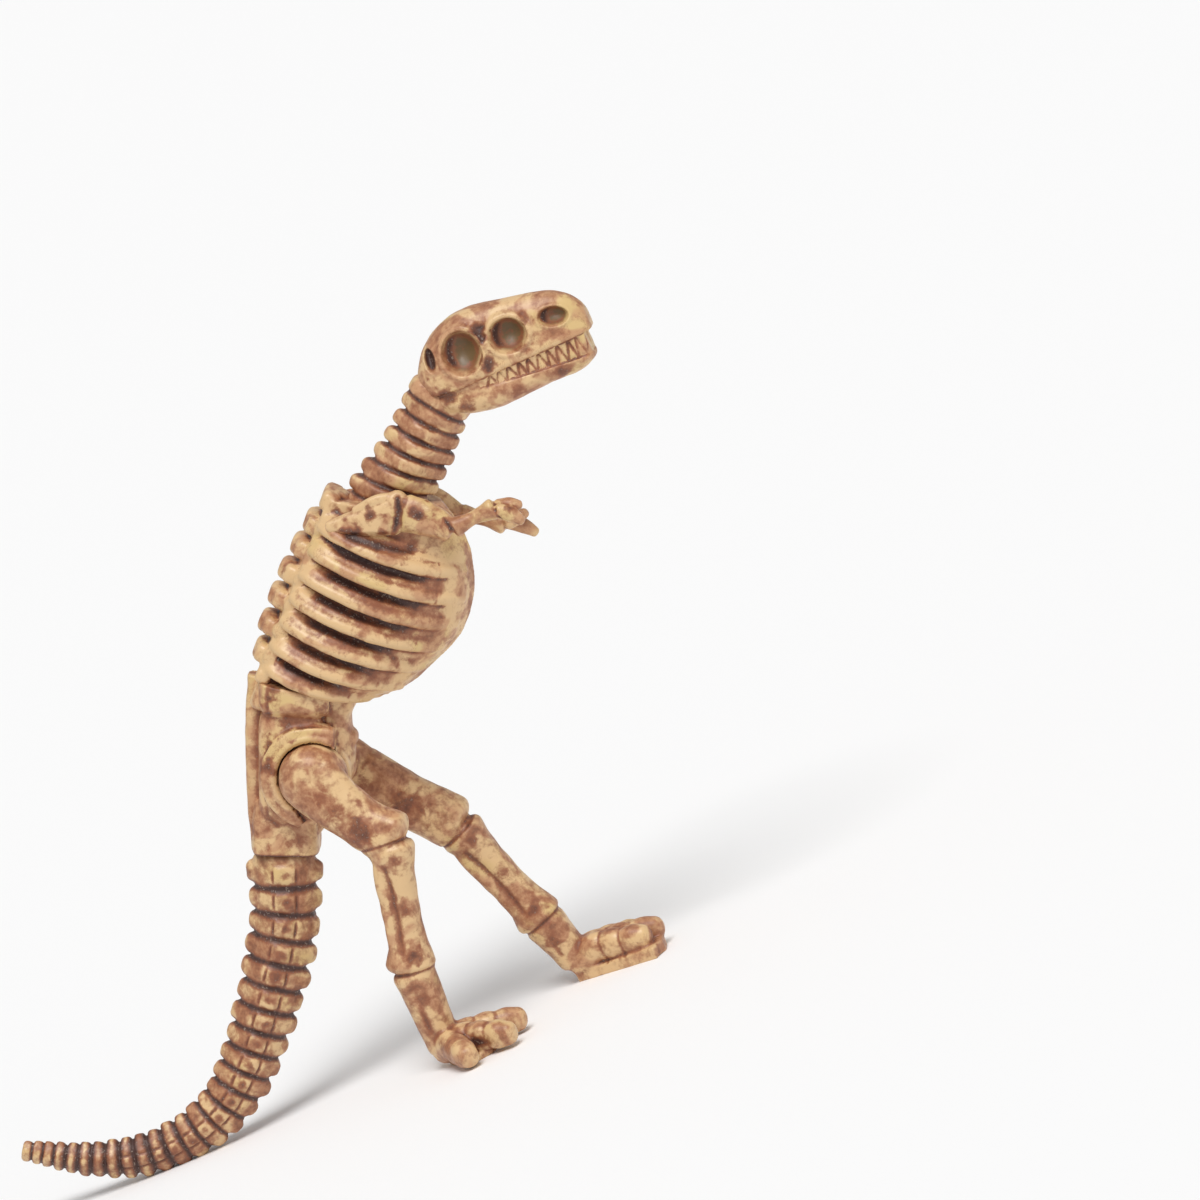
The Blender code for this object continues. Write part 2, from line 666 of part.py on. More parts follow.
def make_leg(name):
    leg = LEGS[name]
    side = leg["side"]
    knee, ankle, heel = (Vector(leg[key]) for key in ("knee", "ankle", "heel"))
    hip = place(0.0, HIP_HEIGHT)
    head_y = side * (SOCKET_FLOOR + GAP)
    head = disc("head", hip, HEAD_RADIUS, head_y, side * 14.0)
    hip_mid = place(0.0, HIP_HEIGHT, side * 11.6)
    bow = (knee - hip).cross(Vector((0, 1, 0))).normalized() * -0.7
    shaft = limb("shaft", [hip_mid, hip_mid.lerp(knee, 0.5) + bow, knee],
                 [(3.6, 6.0), (4.2, 4.9), (4.5, 5.0)], sides=12)
    shin_way = (ankle - knee).normalized()
    foot_way = (heel - ankle).normalized()
    node("thigh_" + name, [head, shaft], [half_space(knee, shin_way)])
    shin = limb("shin", [knee, knee.lerp(ankle, 0.25), knee.lerp(ankle, 0.75), ankle],
                [(4.5, 5.1), (3.9, 3.9), (3.8, 4.1), (4.5, 5.4)], sides=12)
    bend = (shin_way + foot_way).normalized()
    node("shin_" + name, [shin], [half_space(knee, -shin_way), half_space(ankle, bend)])
    foot = limb("instep", [ankle, ankle.lerp(heel, 0.6), heel], [(4.3, 4.4), (3.8, 3.9), (3.6, 3.6)],
                sides=12)
    toes = []
    outline = []
    for tip in leg["toes"]:
        tip = Vector(tip)
        way = (tip - heel)
        across = way.cross(Vector((0, 0, 1))).normalized()
        points = [heel + Vector((0, 0, -0.6)), heel + way * 0.45 + Vector((0, 0, 1.0)), tip]
        toes.append(limb("toe", points, [(3.4, 3.4), (2.5, 2.8), (2.3, 2.4)], across, sides=8))
        outline.append(tip.xy)
    back = heel.xy - (outline[1] - heel.xy).normalized() * 1.5
    web = [Vector((p.x, p.y, 0.0)) for p in (back, outline[0], outline[1], outline[2])]
    sole = loft("web", [[p - Vector((0, 0, 1)) for p in web], [p + Vector((0, 0, 1.6)) for p in web]])
    node("foot_" + name, [foot] + toes + [sole], [half_space(ankle, -bend), floor_cutter()])


def stand_all():
    """Puts every piece under one empty, so that the origin is the bottom centre of the whole."""
    corners = [v.co for item in bpy.data.objects if item.type == "MESH" for v in item.data.vertices]
    middle = [(min(c[k] for c in corners) + max(c[k] for c in corners)) / 2 for k in (0, 1)]
    root = make_object("skeleton", None)
    root.location = (-middle[0], -middle[1], 0.0)
    group = bpy.data.collections.new("toy_skeleton")
    bpy.context.scene.collection.children.link(group)
    hip = Vector((0.0, 0.0, HIP_HEIGHT * MM))
    pivots = {}
    for name in LEGS:
        pivots[name] = make_object("hip_axis_" + name, None)
        pivots[name].parent = root
        pivots[name].location = hip
    for item in [o for o in bpy.data.objects if o.type == "MESH"]:
        limb_side = item.name.split("_")[-1]
        is_leg = item.name.startswith(("thigh", "shin", "foot"))
        if is_leg:
            item.data.transform(Matrix.Translation(-hip))
            item.parent = pivots[limb_side]
        else:
            item.parent = root
        bpy.context.scene.collection.objects.unlink(item)
        group.objects.link(item)


def main():
    clear_scene()
    make_head()
    make_neck()
    make_trunk()
    make_pelvis()
    make_tail()
    for name in LEGS:
        make_leg(name)
    stand_all()


main()
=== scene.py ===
# Toy dinosaur skeleton: cream vinyl with a brown wash rubbed into its grooves.
# Numbers are millimetres, X forward from the hip axis, Y to the animal's left, Z up from the floor.
import math

import bpy
import bmesh
import numpy as np
from mathutils import Matrix, Vector, noise


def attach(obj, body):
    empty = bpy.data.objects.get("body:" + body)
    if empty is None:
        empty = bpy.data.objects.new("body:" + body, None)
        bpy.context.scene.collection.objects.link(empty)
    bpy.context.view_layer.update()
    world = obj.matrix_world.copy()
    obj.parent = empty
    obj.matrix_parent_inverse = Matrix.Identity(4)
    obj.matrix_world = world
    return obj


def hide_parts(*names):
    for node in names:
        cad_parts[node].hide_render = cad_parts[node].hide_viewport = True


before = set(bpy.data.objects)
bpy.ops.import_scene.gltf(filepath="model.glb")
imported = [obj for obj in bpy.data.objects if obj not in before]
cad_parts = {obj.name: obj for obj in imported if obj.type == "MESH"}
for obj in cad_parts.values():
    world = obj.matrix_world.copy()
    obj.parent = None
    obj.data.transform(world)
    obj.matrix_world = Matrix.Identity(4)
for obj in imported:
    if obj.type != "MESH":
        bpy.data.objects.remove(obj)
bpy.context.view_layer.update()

mm = 0.001
shift = np.array([-0.5, 1.415, 0.0])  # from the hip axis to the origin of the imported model
hipHeight = 64.1
hip = np.array([0.0, 0.0, hipHeight])
sideways = np.array([0.0, 1.0, 0.0])


# Shared shape tools
def unit(v):
    v = np.asarray(v, float)
    return v / np.linalg.norm(v)


def spot(x, z, y=0.0):
    return np.array([x, y, z], float)


def heading(degrees):  # unit vector in the side view, turned up from +X
    a = math.radians(degrees)
    return np.array([math.cos(a), 0.0, math.sin(a)])


def smoothRows(rows, steps):  # a curve through the rows, whatever their width
    rows = np.asarray(rows, float)
    ends = np.vstack([2 * rows[0] - rows[1], rows, 2 * rows[-1] - rows[-2]])
    t = (np.arange(steps) / steps)[:, None]
    parts = []
    for i in range(len(rows) - 1):
        a, b, c, d = ends[i : i + 4]
        square, cube = 2 * a - 5 * b + 4 * c - d, 3 * b - a - 3 * c + d
        parts.append(0.5 * (2 * b + (c - a) * t + square * t**2 + cube * t**3))
    return np.vstack(parts + [rows[-1:]])


def ramp(x, low, high):  # 0 below low, 1 above high, smooth between
    t = np.clip((np.asarray(x, float) - low) / (high - low), 0.0, 1.0)
    return t * t * (3 - 2 * t)


def emptyStore():
    return {"verts": [], "faces": [], "count": 0}


def addShell(store, verts, faces):
    base = store["count"]
    store["verts"].append(np.asarray(verts, float))
    store["faces"] += [[base + i for i in face] for face in faces]
    store["count"] += len(verts)


def addLoft(store, rings):
    rings = [np.asarray(r, float) for r in rings]
    n = len(rings[0])
    faces = []
    for r in range(len(rings) - 1):
        for i in range(n):
            k = (i + 1) % n
            faces.append([r * n + i, r * n + k, (r + 1) * n + k, (r + 1) * n + i])
    faces.append(list(range(n))[::-1])
    faces.append([(len(rings) - 1) * n + i for i in range(n)])
    addShell(store, np.vstack(rings), faces)


def oval(centre, across, upward, wide, deep, sides=28, power=2.3):
    a = 2 * np.pi * (np.arange(sides) + 0.5) / sides
    c, s = np.cos(a), np.sin(a)
    x = np.sign(c) * np.abs(c) ** (2 / power) * wide
    y = np.sign(s) * np.abs(s) ** (2 / power) * deep
    return centre + x[:, None] * across + y[:, None] * upward


# A bone: rows of x, y, z, half across and half deep, with rounded ends.
def addLimb(store, rows, hint=sideways, steps=6, sides=28, power=2.3, cap=0.7):
    path = smoothRows(rows, steps)
    last = len(path) - 1
    rings = []
    for i, row in enumerate(path):
        forward = unit(path[min(i + 1, last)][:3] - path[max(i - 1, 0)][:3])
        across = unit(hint - forward * np.dot(hint, forward))
        upward = np.cross(forward, across)
        turns = [0]
        if i == 0:
            turns = [-80, -60, -40, -20, 0]
        elif i == last:
            turns = [0, 20, 40, 60, 80]
        for a in np.radians(turns):
            rings.append(oval(row[:3] + forward * cap * row[4] * math.sin(a), across, upward,
                              row[3] * math.cos(a), row[4] * math.cos(a), sides, power))
    addLoft(store, rings)


def addLump(store, centre, axes, halves, power=2.6, rows=12, sides=24):  # rounded box or ball
    axes = [unit(a) for a in axes]
    rings = []
    for i in range(1, rows):
        t = math.pi * i / rows
        h = -math.copysign(abs(math.cos(t)) ** (2 / power), math.cos(t))
        w = math.sin(t) ** (2 / power)
        rings.append(oval(np.asarray(centre) + axes[2] * h * halves[2], axes[0], axes[1],
                          w * halves[0], w * halves[1], sides, power))
    addLoft(store, rings)


def meshFrom(name, verts, faces):
    mesh = bpy.data.meshes.new(name)
    mesh.from_pydata([tuple((p + shift) * mm) for p in verts], [], faces)
    bm = bmesh.new()
    bm.from_mesh(mesh)
    bmesh.ops.recalc_face_normals(bm, faces=bm.faces)
    bm.to_mesh(mesh)
    bm.free()
    return mesh


def addObject(name, mesh):
    obj = bpy.data.objects.new(name, mesh)
    bpy.context.scene.collection.objects.link(obj)
    return obj


def evaluated(obj):
    graph = bpy.context.evaluated_depsgraph_get()
    return bpy.data.meshes.new_from_object(obj.evaluated_get(graph))


def readPoints(mesh):  # back to millimetres from the hip axis
    flat = np.empty(len(mesh.vertices) * 3)
    mesh.vertices.foreach_get("co", flat)
    return flat.reshape(-1, 3) / mm - shift


def writePoints(mesh, points):
    mesh.vertices.foreach_set("co", ((points + shift) * mm).ravel())
    mesh.update()


def readNormals(mesh):
    mesh.update()
    flat = np.empty(len(mesh.vertices) * 3, dtype=np.float32)
    mesh.vertex_normals.foreach_get("vector", flat)
    return flat.reshape(-1, 3).astype(float)


def reskin(obj, voxel):  # overlapping closed shells become one closed skin
    mod = obj.modifiers.new("skin", "REMESH")
    mod.mode = "VOXEL"
    mod.voxel_size = voxel * mm
    obj.data = evaluated(obj)
    obj.modifiers.clear()


def fuse(name, store, voxel):
    obj = addObject(name, meshFrom(name, np.vstack(store["verts"]), store["faces"]))
    reskin(obj, voxel)
    return obj


def neighbourMean(values, edges, times, share=0.5):
    count = np.bincount(edges.ravel(), minlength=len(values)).astype(float)
    count[count == 0] = 1.0
    out = values.copy()
    for _ in range(times):
        total = np.zeros_like(out)
        for c in range(out.shape[1]):
            total[:, c] = (np.bincount(edges[:, 0], out[edges[:, 1], c], len(out))
                           + np.bincount(edges[:, 1], out[edges[:, 0], c], len(out)))
        out += (total / count[:, None] - out) * share
    return out


def readEdges(mesh):
    flat = np.empty(len(mesh.edges) * 2, dtype=np.int64)
    mesh.edges.foreach_get("vertices", flat)
    return flat.reshape(-1, 2)


def soften(obj, times):
    edges = readEdges(obj.data)
    points = neighbourMean(readPoints(obj.data), edges, times)
    writePoints(obj.data, points)


def nearPath(points, path):  # distance of each point to a line of points, and how far along it
    path = np.asarray(path, float)
    best = np.full(len(points), 1e9)
    along = np.zeros(len(points))
    for k in range(len(path) - 1):
        a, d = path[k], path[k + 1] - path[k]
        t = np.clip(((points - a) @ d) / (d @ d), 0.0, 1.0)
        gap = np.linalg.norm(points - a - t[:, None] * d, axis=1)
        closer = gap < best
        best[closer] = gap[closer]
        along[closer] = (k + t[closer]) / (len(path) - 1)
    return best, along


# Node trees
def addNode(tree, kind, settings=None, feeds=None):
    node = tree.nodes.new(kind)
    for key, value in (settings or {}).items():
        setattr(node, key, value)
    for key, value in (feeds or {}).items():
        if isinstance(value, bpy.types.NodeSocket):
            tree.links.new(value, node.inputs[key])
        else:
            node.inputs[key].default_value = value
    return node


def startTree(name, sockets):
    tree = bpy.data.node_groups.new(name, "GeometryNodeTree")
    tree.interface.new_socket("Geometry", in_out="INPUT", socket_type="NodeSocketGeometry")
    for label, kind, value in sockets:
        socket = tree.interface.new_socket(label, in_out="INPUT", socket_type=kind)
        if value is not None:
            socket.default_value = value
    tree.interface.new_socket("Geometry", in_out="OUTPUT", socket_type="NodeSocketGeometry")
    return tree, addNode(tree, "NodeGroupInput"), addNode(tree, "NodeGroupOutput")


def finishTree(tree, geometry, material, groupOut):
    real = addNode(tree, "GeometryNodeRealizeInstances", None, {0: geometry})
    painted = addNode(tree, "GeometryNodeSetMaterial", None, {"Geometry": real.outputs[0], "Material": material})
    tree.links.new(painted.outputs[0], groupOut.inputs[0])
    return tree


def repeatTree():  # one piece at every point, turned and sized by the point's own attributes
    tree, take, give = startTree("repeatOnPlaces", [
        ("Piece", "NodeSocketObject", None),
        ("Wobble", "NodeSocketFloat", 0.0),
        ("Seed", "NodeSocketInt", 3),
        ("Finish", "NodeSocketMaterial", None),
    ])
    piece = addNode(tree, "GeometryNodeObjectInfo", None, {"Object": take.outputs["Piece"]})
    turn = addNode(tree, "GeometryNodeInputNamedAttribute", {"data_type": "FLOAT_VECTOR"}, {"Name": "turn"})
    size = addNode(tree, "GeometryNodeInputNamedAttribute", {"data_type": "FLOAT_VECTOR"}, {"Name": "size"})
    low = addNode(tree, "ShaderNodeMath", {"operation": "SUBTRACT"}, {0: 1.0, 1: take.outputs["Wobble"]})
    high = addNode(tree, "ShaderNodeMath", {"operation": "ADD"}, {0: 1.0, 1: take.outputs["Wobble"]})
    loose = addNode(tree, "FunctionNodeRandomValue", {"data_type": "FLOAT_VECTOR"},
                    {0: low.outputs[0], 1: high.outputs[0], "Seed": take.outputs["Seed"]})
    grown = addNode(tree, "ShaderNodeVectorMath", {"operation": "MULTIPLY"},
                    {0: size.outputs[0], 1: loose.outputs[0]})
    points = addNode(tree, "GeometryNodeMeshToPoints", None, {"Mesh": take.outputs["Geometry"]})
    placed = addNode(tree, "GeometryNodeInstanceOnPoints", None, {
        "Points": points.outputs[0], "Instance": piece.outputs["Geometry"],
        "Rotation": turn.outputs[0], "Scale": grown.outputs[0]})
    return finishTree(tree, placed.outputs[0], take.outputs["Finish"], give)


def sweepTree():  # a round bar along every line of points, as thick as the attribute says
    tree, take, give = startTree("sweepAlongLines", [
        ("Sides", "NodeSocketInt", 16),
        ("Thickness", "NodeSocketFloat", 1.0),
        ("Finish", "NodeSocketMaterial", None),
    ])
    thick = addNode(tree, "GeometryNodeInputNamedAttribute", {"data_type": "FLOAT"}, {"Name": "thick"})
    scaled = addNode(tree, "ShaderNodeMath", {"operation": "MULTIPLY"},
                     {0: thick.outputs[0], 1: take.outputs["Thickness"]})
    lines = addNode(tree, "GeometryNodeMeshToCurve", None, {"Mesh": take.outputs["Geometry"]})
    circle = addNode(tree, "GeometryNodeCurvePrimitiveCircle", {"mode": "RADIUS"},
                     {"Resolution": take.outputs["Sides"], "Radius": 1.0})
    swept = addNode(tree, "GeometryNodeCurveToMesh", None, {
        "Curve": lines.outputs[0], "Profile Curve": circle.outputs[0],
        "Scale": scaled.outputs[0], "Fill Caps": True})
    return finishTree(tree, swept.outputs[0], take.outputs["Finish"], give)


def runTree(tree, mesh, values):
    obj = addObject("maker", mesh)
    mod = obj.modifiers.new("maker", "NODES")
    mod.node_group = tree
    names = {item.name: item.identifier for item in tree.interface.items_tree if item.in_out == "INPUT"}
    for label, value in values.items():
        mod[names[label]] = value
    made = evaluated(obj)
    bpy.data.objects.remove(obj, do_unlink=True)
    return readPoints(made), [list(p.vertices) for p in made.polygons]


def placesMesh(places):  # rows of (centre, three axes, three sizes)
    mesh = bpy.data.meshes.new("places")
    mesh.from_pydata([tuple((p[0] + shift) * mm) for p in places], [], [])
    turn = mesh.attributes.new("turn", "FLOAT_VECTOR", "POINT")
    size = mesh.attributes.new("size", "FLOAT_VECTOR", "POINT")
    for i, (_, axes, sizes) in enumerate(places):
        columns = Matrix([Vector(unit(a)) for a in axes]).transposed()
        turn.data[i].vector = Vector(columns.to_euler())
        size.data[i].vector = Vector([s * mm for s in sizes])
    return mesh


def linesMesh(lines):  # each line is rows of x, y, z, thickness
    mesh = bpy.data.meshes.new("lines")
    verts, edges, thick = [], [], []
    for line in lines:
        base = len(verts)
        for row in line:
            verts.append(tuple((row[:3] + shift) * mm))
            thick.append(row[3] * mm)
        edges += [(base + i, base + i + 1) for i in range(len(line) - 1)]
    mesh.from_pydata(verts, edges, [])
    layer = mesh.attributes.new("thick", "FLOAT", "POINT")
    layer.data.foreach_set("value", thick)
    return mesh


def template(name, verts, faces):  # a piece of size 1 round its own origin
    mesh = bpy.data.meshes.new(name)
    mesh.from_pydata([tuple(v) for v in verts], [], faces)
    return addObject(name, mesh)


def ringTemplate(rows=11, sides=64, bulge=3.5, lobe=0.14):
    # Local X is the back, Y the side, Z along the chain. Four lobes: spine, chevron and two bosses.
    store = emptyStore()
    rings = []
    for i in range(rows + 1):
        h = math.sin(math.pi * (i / rows - 0.5) * 0.97)
        w = (1 - abs(h) ** bulge) ** (1 / bulge)
        a = 2 * np.pi * np.arange(sides) / sides
        r = w * (1 - lobe * (0.5 - 0.5 * np.cos(4 * a)))
        rings.append(np.stack([np.cos(a) * r, np.sin(a) * r, np.full(sides, h)], 1))
    addLoft(store, rings)
    return template("vertebraTemplate", store["verts"][0], store["faces"])


def lumpTemplate(name, power=3.0):
    store = emptyStore()
    addLump(store, (0, 0, 0), ((1, 0, 0), (0, 1, 0), (0, 0, 1)), (1, 1, 1), power)
    return template(name, store["verts"][0], store["faces"])


def toothTemplate():  # root at z 0, tip at z 1, thick in Y
    rings = []
    for t in (0.0, 0.15, 0.3, 0.5, 0.7, 0.85, 0.95, 1.0):
        half = 1.0 - 0.72 * t - 0.24 * t**6
        thick = 1.0 - 0.45 * t
        rings.append(oval(np.array([0, 0, t]), np.array([1.0, 0, 0]), np.array([0, 1.0, 0]),
                          half, thick, 16, 2.4))
    store = emptyStore()
    addLoft(store, rings)
    return template("toothTemplate", store["verts"][0], store["faces"])


def scatter(store, places, piece, wobble, seed, finish):
    addShell(store, *runTree(repeatPlaces, placesMesh(places), {
        "Piece": piece, "Wobble": wobble, "Seed": seed, "Finish": finish}))


def sweep(store, lines, sides):
    addShell(store, *runTree(sweepLines, linesMesh(lines), {
        "Sides": sides, "Thickness": 1.0, "Finish": vinylLight}))


repeatPlaces = repeatTree()
sweepLines = sweepTree()
vertebraPiece = ringTemplate()
knobPiece = lumpTemplate("knobTemplate", 4.2)
toothPiece = toothTemplate()
print("makers ready")


# Finish
def srgb(hexCode):
    channels = [int(hexCode[i : i + 2], 16) / 255 for i in (0, 2, 4)]
    return (*[c / 12.92 if c <= 0.04045 else ((c + 0.055) / 1.055) ** 2.4 for c in channels], 1.0)


vinylSettings = {
    "cream": "DCB888",
    "bare": "D3B577",  # yellower patches where the wash was wiped right off
    "pink": "C2906A",
    "rust": "945739",
    "umber": "70432F",
    "groove": "3F2622",  # the wash where it pooled, darkened further as painted shade deep in the hollows
    "pit": "6E5634",  # olive brown laid over the inside of the skull's openings
    "glint": "B3A08F",  # painted highlight: pale glints on the dark wash in the deepest grooves
}


def washedVinyl(name, dirt=0.0, seed=0.0):
    # Soft PVC, injection moulded and satin, with a brown wash brushed on and wiped off again:
    # dark in the hollows from the wash and from painted shade, blotchy on the flats,
    # bare and slightly shiny on the crests, with painted glints in the deepest grooves.
    c = {key: srgb(value) for key, value in vinylSettings.items()}
    mat = bpy.data.materials.new(name)
    mat.use_nodes = True
    tree = mat.node_tree
    shader = tree.nodes["Principled BSDF"]
    coords = addNode(tree, "ShaderNodeTexCoord")
    inMm = addNode(tree, "ShaderNodeMapping", None,
                   {"Vector": coords.outputs["Object"], "Location": (seed, seed * 1.7, -seed),
                    "Scale": (1 / mm, 1 / mm, 1 / mm)})
    place = inMm.outputs[0]
    washAndShade = addNode(tree, "ShaderNodeAttribute", {"attribute_name": "washAndShade"}).outputs["Fac"]
    crest = addNode(tree, "ShaderNodeAttribute", {"attribute_name": "crest"}).outputs["Fac"]
    pit = addNode(tree, "ShaderNodeAttribute", {"attribute_name": "pit"}).outputs["Fac"]

    def noiseOf(size, detail=3.0, rough=0.55, twist=0.0):  # size of one blotch in millimetres
        feeds = {"Vector": place, "Scale": 1.0 / size, "Detail": detail, "Roughness": rough, "Distortion": twist}
        return addNode(tree, "ShaderNodeTexNoise", None, feeds).outputs[0]

    def spread(value, low, high, top=1.0):
        return addNode(tree, "ShaderNodeMapRange", {"interpolation_type": "SMOOTHSTEP"},
                       {"Value": value, "From Min": low, "From Max": high, "To Min": 0.0, "To Max": top}).outputs[0]

    def blend(a, b, share, mode="MIX"):
        return addNode(tree, "ShaderNodeMix", {"data_type": "RGBA", "blend_type": mode},
                       {0: share, 6: a, 7: b}).outputs[2]

    def combine(kind, a, b):
        return addNode(tree, "ShaderNodeMath", {"operation": kind}, {0: a, 1: b}).outputs[0]

    large, broad, grain = noiseOf(15.0, 2.0), noiseOf(6.0, 3.0, 0.5, 0.8), noiseOf(0.5, 3.0)
    middling, small = noiseOf(3.0, 4.0, 0.6, 0.5), noiseOf(1.2, 4.0, 0.6)
    colour = blend(c["cream"], c["bare"], spread(large, 0.51, 0.64, 0.65))
    blush = combine("SUBTRACT", broad, combine("MULTIPLY", crest, 0.09))
    colour = blend(colour, c["pink"], spread(blush, 0.42, 0.55, 0.85))
    stains = combine("ADD", combine("MULTIPLY", broad, 0.32), combine("MULTIPLY", middling, 0.38))
    stains = combine("ADD", stains, combine("MULTIPLY", small, 0.30))
    stains = combine("ADD", stains, combine("MULTIPLY", washAndShade, 0.16))
    stains = combine("SUBTRACT", stains, combine("MULTIPLY", crest, 0.10))
    colour = blend(colour, c["rust"], spread(stains, 0.455 - dirt, 0.585 - dirt, 0.68))
    colour = blend(colour, c["umber"], spread(stains, 0.56 - dirt, 0.67 - dirt, 0.70))
    vein = combine("ABSOLUTE", combine("SUBTRACT", middling, 0.5), 0.0)
    vein = combine("MULTIPLY", spread(vein, 0.022, 0.0), spread(large, 0.46, 0.54, 0.3))
    colour = blend(colour, c["rust"], vein)
    colour = blend(colour, c["pit"], pit)
    # The wash and the painted shade follow the hollows, with a ragged edge.
    ragged = combine("ADD", washAndShade, combine("MULTIPLY", combine("SUBTRACT", middling, 0.5), 0.9))
    ragged = combine("ADD", ragged, combine("MULTIPLY", combine("SUBTRACT", grain, 0.5), 0.55))
    colour = blend(colour, c["rust"], spread(ragged, 0.10, 0.40, 0.75))
    colour = blend(colour, c["umber"], spread(ragged, 0.30, 0.65, 0.85))
    # The darkest wash, partly painted shade, deep in the hollows
    deep = spread(ragged, 0.55, 0.95, 0.9)
    colour = blend(colour, c["groove"], deep)
    # Painted highlight: pale specks where the dark wash lies deepest, standing in for glints of light
    paintedGlint = combine("MULTIPLY", spread(ragged, 0.40, 0.75), spread(grain, 0.59, 0.66, 0.45))
    colour = blend(colour, c["glint"], paintedGlint)
    tree.links.new(colour, shader.inputs["Base Color"])
    rough = addNode(tree, "ShaderNodeMapRange", None,
                    {"Value": stains, "From Min": 0.35, "From Max": 0.65, "To Min": 0.36, "To Max": 0.52}).outputs[0]
    tree.links.new(rough, shader.inputs["Roughness"])
    shader.inputs["IOR"].default_value = 1.53
    crumbs = combine("MULTIPLY", combine("MULTIPLY", grain, deep), 1.5)
    height = combine("ADD", combine("MULTIPLY", small, 0.6), crumbs)
    bump = addNode(tree, "ShaderNodeBump", None,
                   {"Strength": 0.35, "Distance": 0.00018, "Height": height})
    tree.links.new(bump.outputs[0], shader.inputs["Normal"])
    return mat


washAndShadeValues = {  # where the wash and the painted shade settle: rounds of smoothing, then shares of small and of broad hollows
    "fineRounds": 5, "wideRounds": 26,
    "fineWashAndShade": 0.55, "wideWashAndShade": 0.75,
    "fineCrest": 0.5, "wideCrest": 0.6,
    "wipedCrest": 1.6,
}


# Works out where the wash and the painted shade in the hollows lie, smooths the shading and hands the piece over.
def dress(carver, material, body, nodes, hollowFine=0.07, hollowWide=0.45, pit=None):
    v = washAndShadeValues
    obj, painted = carver.obj, carver.done()
    mesh = obj.data
    edges = readEdges(mesh)
    points = readPoints(mesh)
    normals = readNormals(mesh)
    fine = neighbourMean(points, edges, v["fineRounds"])
    wide = neighbourMean(fine, edges, v["wideRounds"])
    # Brown wash together with painted shade: the deeper a point sits in a small or broad hollow, the darker it is
    # painted
    cupFine = np.einsum("ij,ij->i", fine - points, normals) / hollowFine
    cupWide = np.einsum("ij,ij->i", wide - points, normals) / hollowWide
    washAndShade = np.clip(cupFine, -0.5, 1.0) * v["fineWashAndShade"] + np.clip(cupWide, -0.4, 1.0) * v["wideWashAndShade"]
    crest = np.clip(-cupFine, 0, 1) * v["fineCrest"] + np.clip(-cupWide, 0, 1) * v["wideCrest"]
    wiped = np.clip(-painted, 0, 1)
    crest += wiped * v["wipedCrest"]
    washAndShade = np.clip(np.maximum(np.clip(washAndShade, 0, 1), painted) - wiped, 0, 1)
    pit = np.zeros(len(washAndShade)) if pit is None else pit
    for label, values in (("washAndShade", washAndShade), ("crest", np.clip(crest, 0, 1)), ("pit", pit)):
        layer = mesh.attributes.new(label, "FLOAT", "POINT")
        layer.data.foreach_set("value", values.astype(np.float32))
    mesh.polygons.foreach_set("use_smooth", np.ones(len(mesh.polygons), dtype=bool))
    mesh.materials.clear()
    mesh.materials.append(material)
    mesh.update()
    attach(obj, body)
    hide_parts(*nodes)
    print(obj.name, "faces", len(mesh.polygons))


class Carver:  # moves the points of a fused skin and remembers what is painted dark
    def __init__(self, obj):
        self.obj = obj
        self.p = readPoints(obj.data)
        self.n = readNormals(obj.data)
        self.paint = np.zeros(len(self.p))

    def refresh(self):
        writePoints(self.obj.data, self.p)
        self.n = readNormals(self.obj.data)

    def groove(self, path, width, depth, dark=0.8, where=None, fade=0.0):
        gap, along = nearPath(self.p, path)
        share = np.exp(-((gap / width) ** 2))
        if fade:
            share *= ramp(along, 0.0, fade) * ramp(1 - along, 0.0, fade)
        if where is not None:
            share *= where
        self.p -= self.n * (depth * share)[:, None]
        self.darken(dark * share)

    def darken(self, amount):  # leaves what was wiped bare alone, except in the groove itself
        self.paint = np.where(amount > 0.06, np.maximum(self.paint, amount), self.paint)

    # A groove all round, across the forward axis; its wash spills wider than the cut.
    def crease(self, centre, forward, reach, width, depth, dark, spill=1.0):
        away = self.p - centre
        near = np.linalg.norm(away, axis=1) < reach
        gap = away @ forward / width
        self.p -= self.n * (depth * np.exp(-(gap**2)) * near)[:, None]
        self.darken(dark * np.exp(-((gap / spill) ** 2)) * near)

    def ridge(self, path, width, height, bare=0.3, fade=0.15):  # raised, and wiped bare
        gap, along = nearPath(self.p, path)
        share = np.exp(-((gap / width) ** 2)) * ramp(along, 0.0, fade) * ramp(1 - along, 0.0, fade)
        self.p += self.n * (height * share)[:, None]
        self.paint -= bare * share * (self.paint <= 0)

    def dab(self, centre, radius, dark=0.8, depth=0.0):  # a patch of wash, dented if depth is given
        gap = np.linalg.norm(self.p - np.asarray(centre), axis=1)
        near = gap < radius * 1.6
        gap[near] *= np.array([1 + 0.8 * noise.noise(Vector(q / 1.5)) for q in self.p[near]])
        share = ramp(1 - gap / radius, 0.0, 1.0)
        self.p -= self.n * (depth * share)[:, None]
        self.paint = np.where(share > 0, np.maximum(self.paint, dark * share), self.paint)

    def uneven(self, size, height):  # the slight unevenness of a hand-made master
        lumps = np.array([noise.noise(Vector(q / size)) for q in self.p])
        self.p += self.n * (lumps * height)[:, None]

    def done(self):
        writePoints(self.obj.data, self.p)
        return self.paint


def startCarving(obj, rounds=2):
    soften(obj, rounds)
    return Carver(obj)


def axesFor(forward):  # back, side and forward axes for a ring or a knob
    forward = unit(forward)
    side = unit(sideways - forward * np.dot(sideways, forward))
    back = np.cross(side, forward)
    return back, side, forward


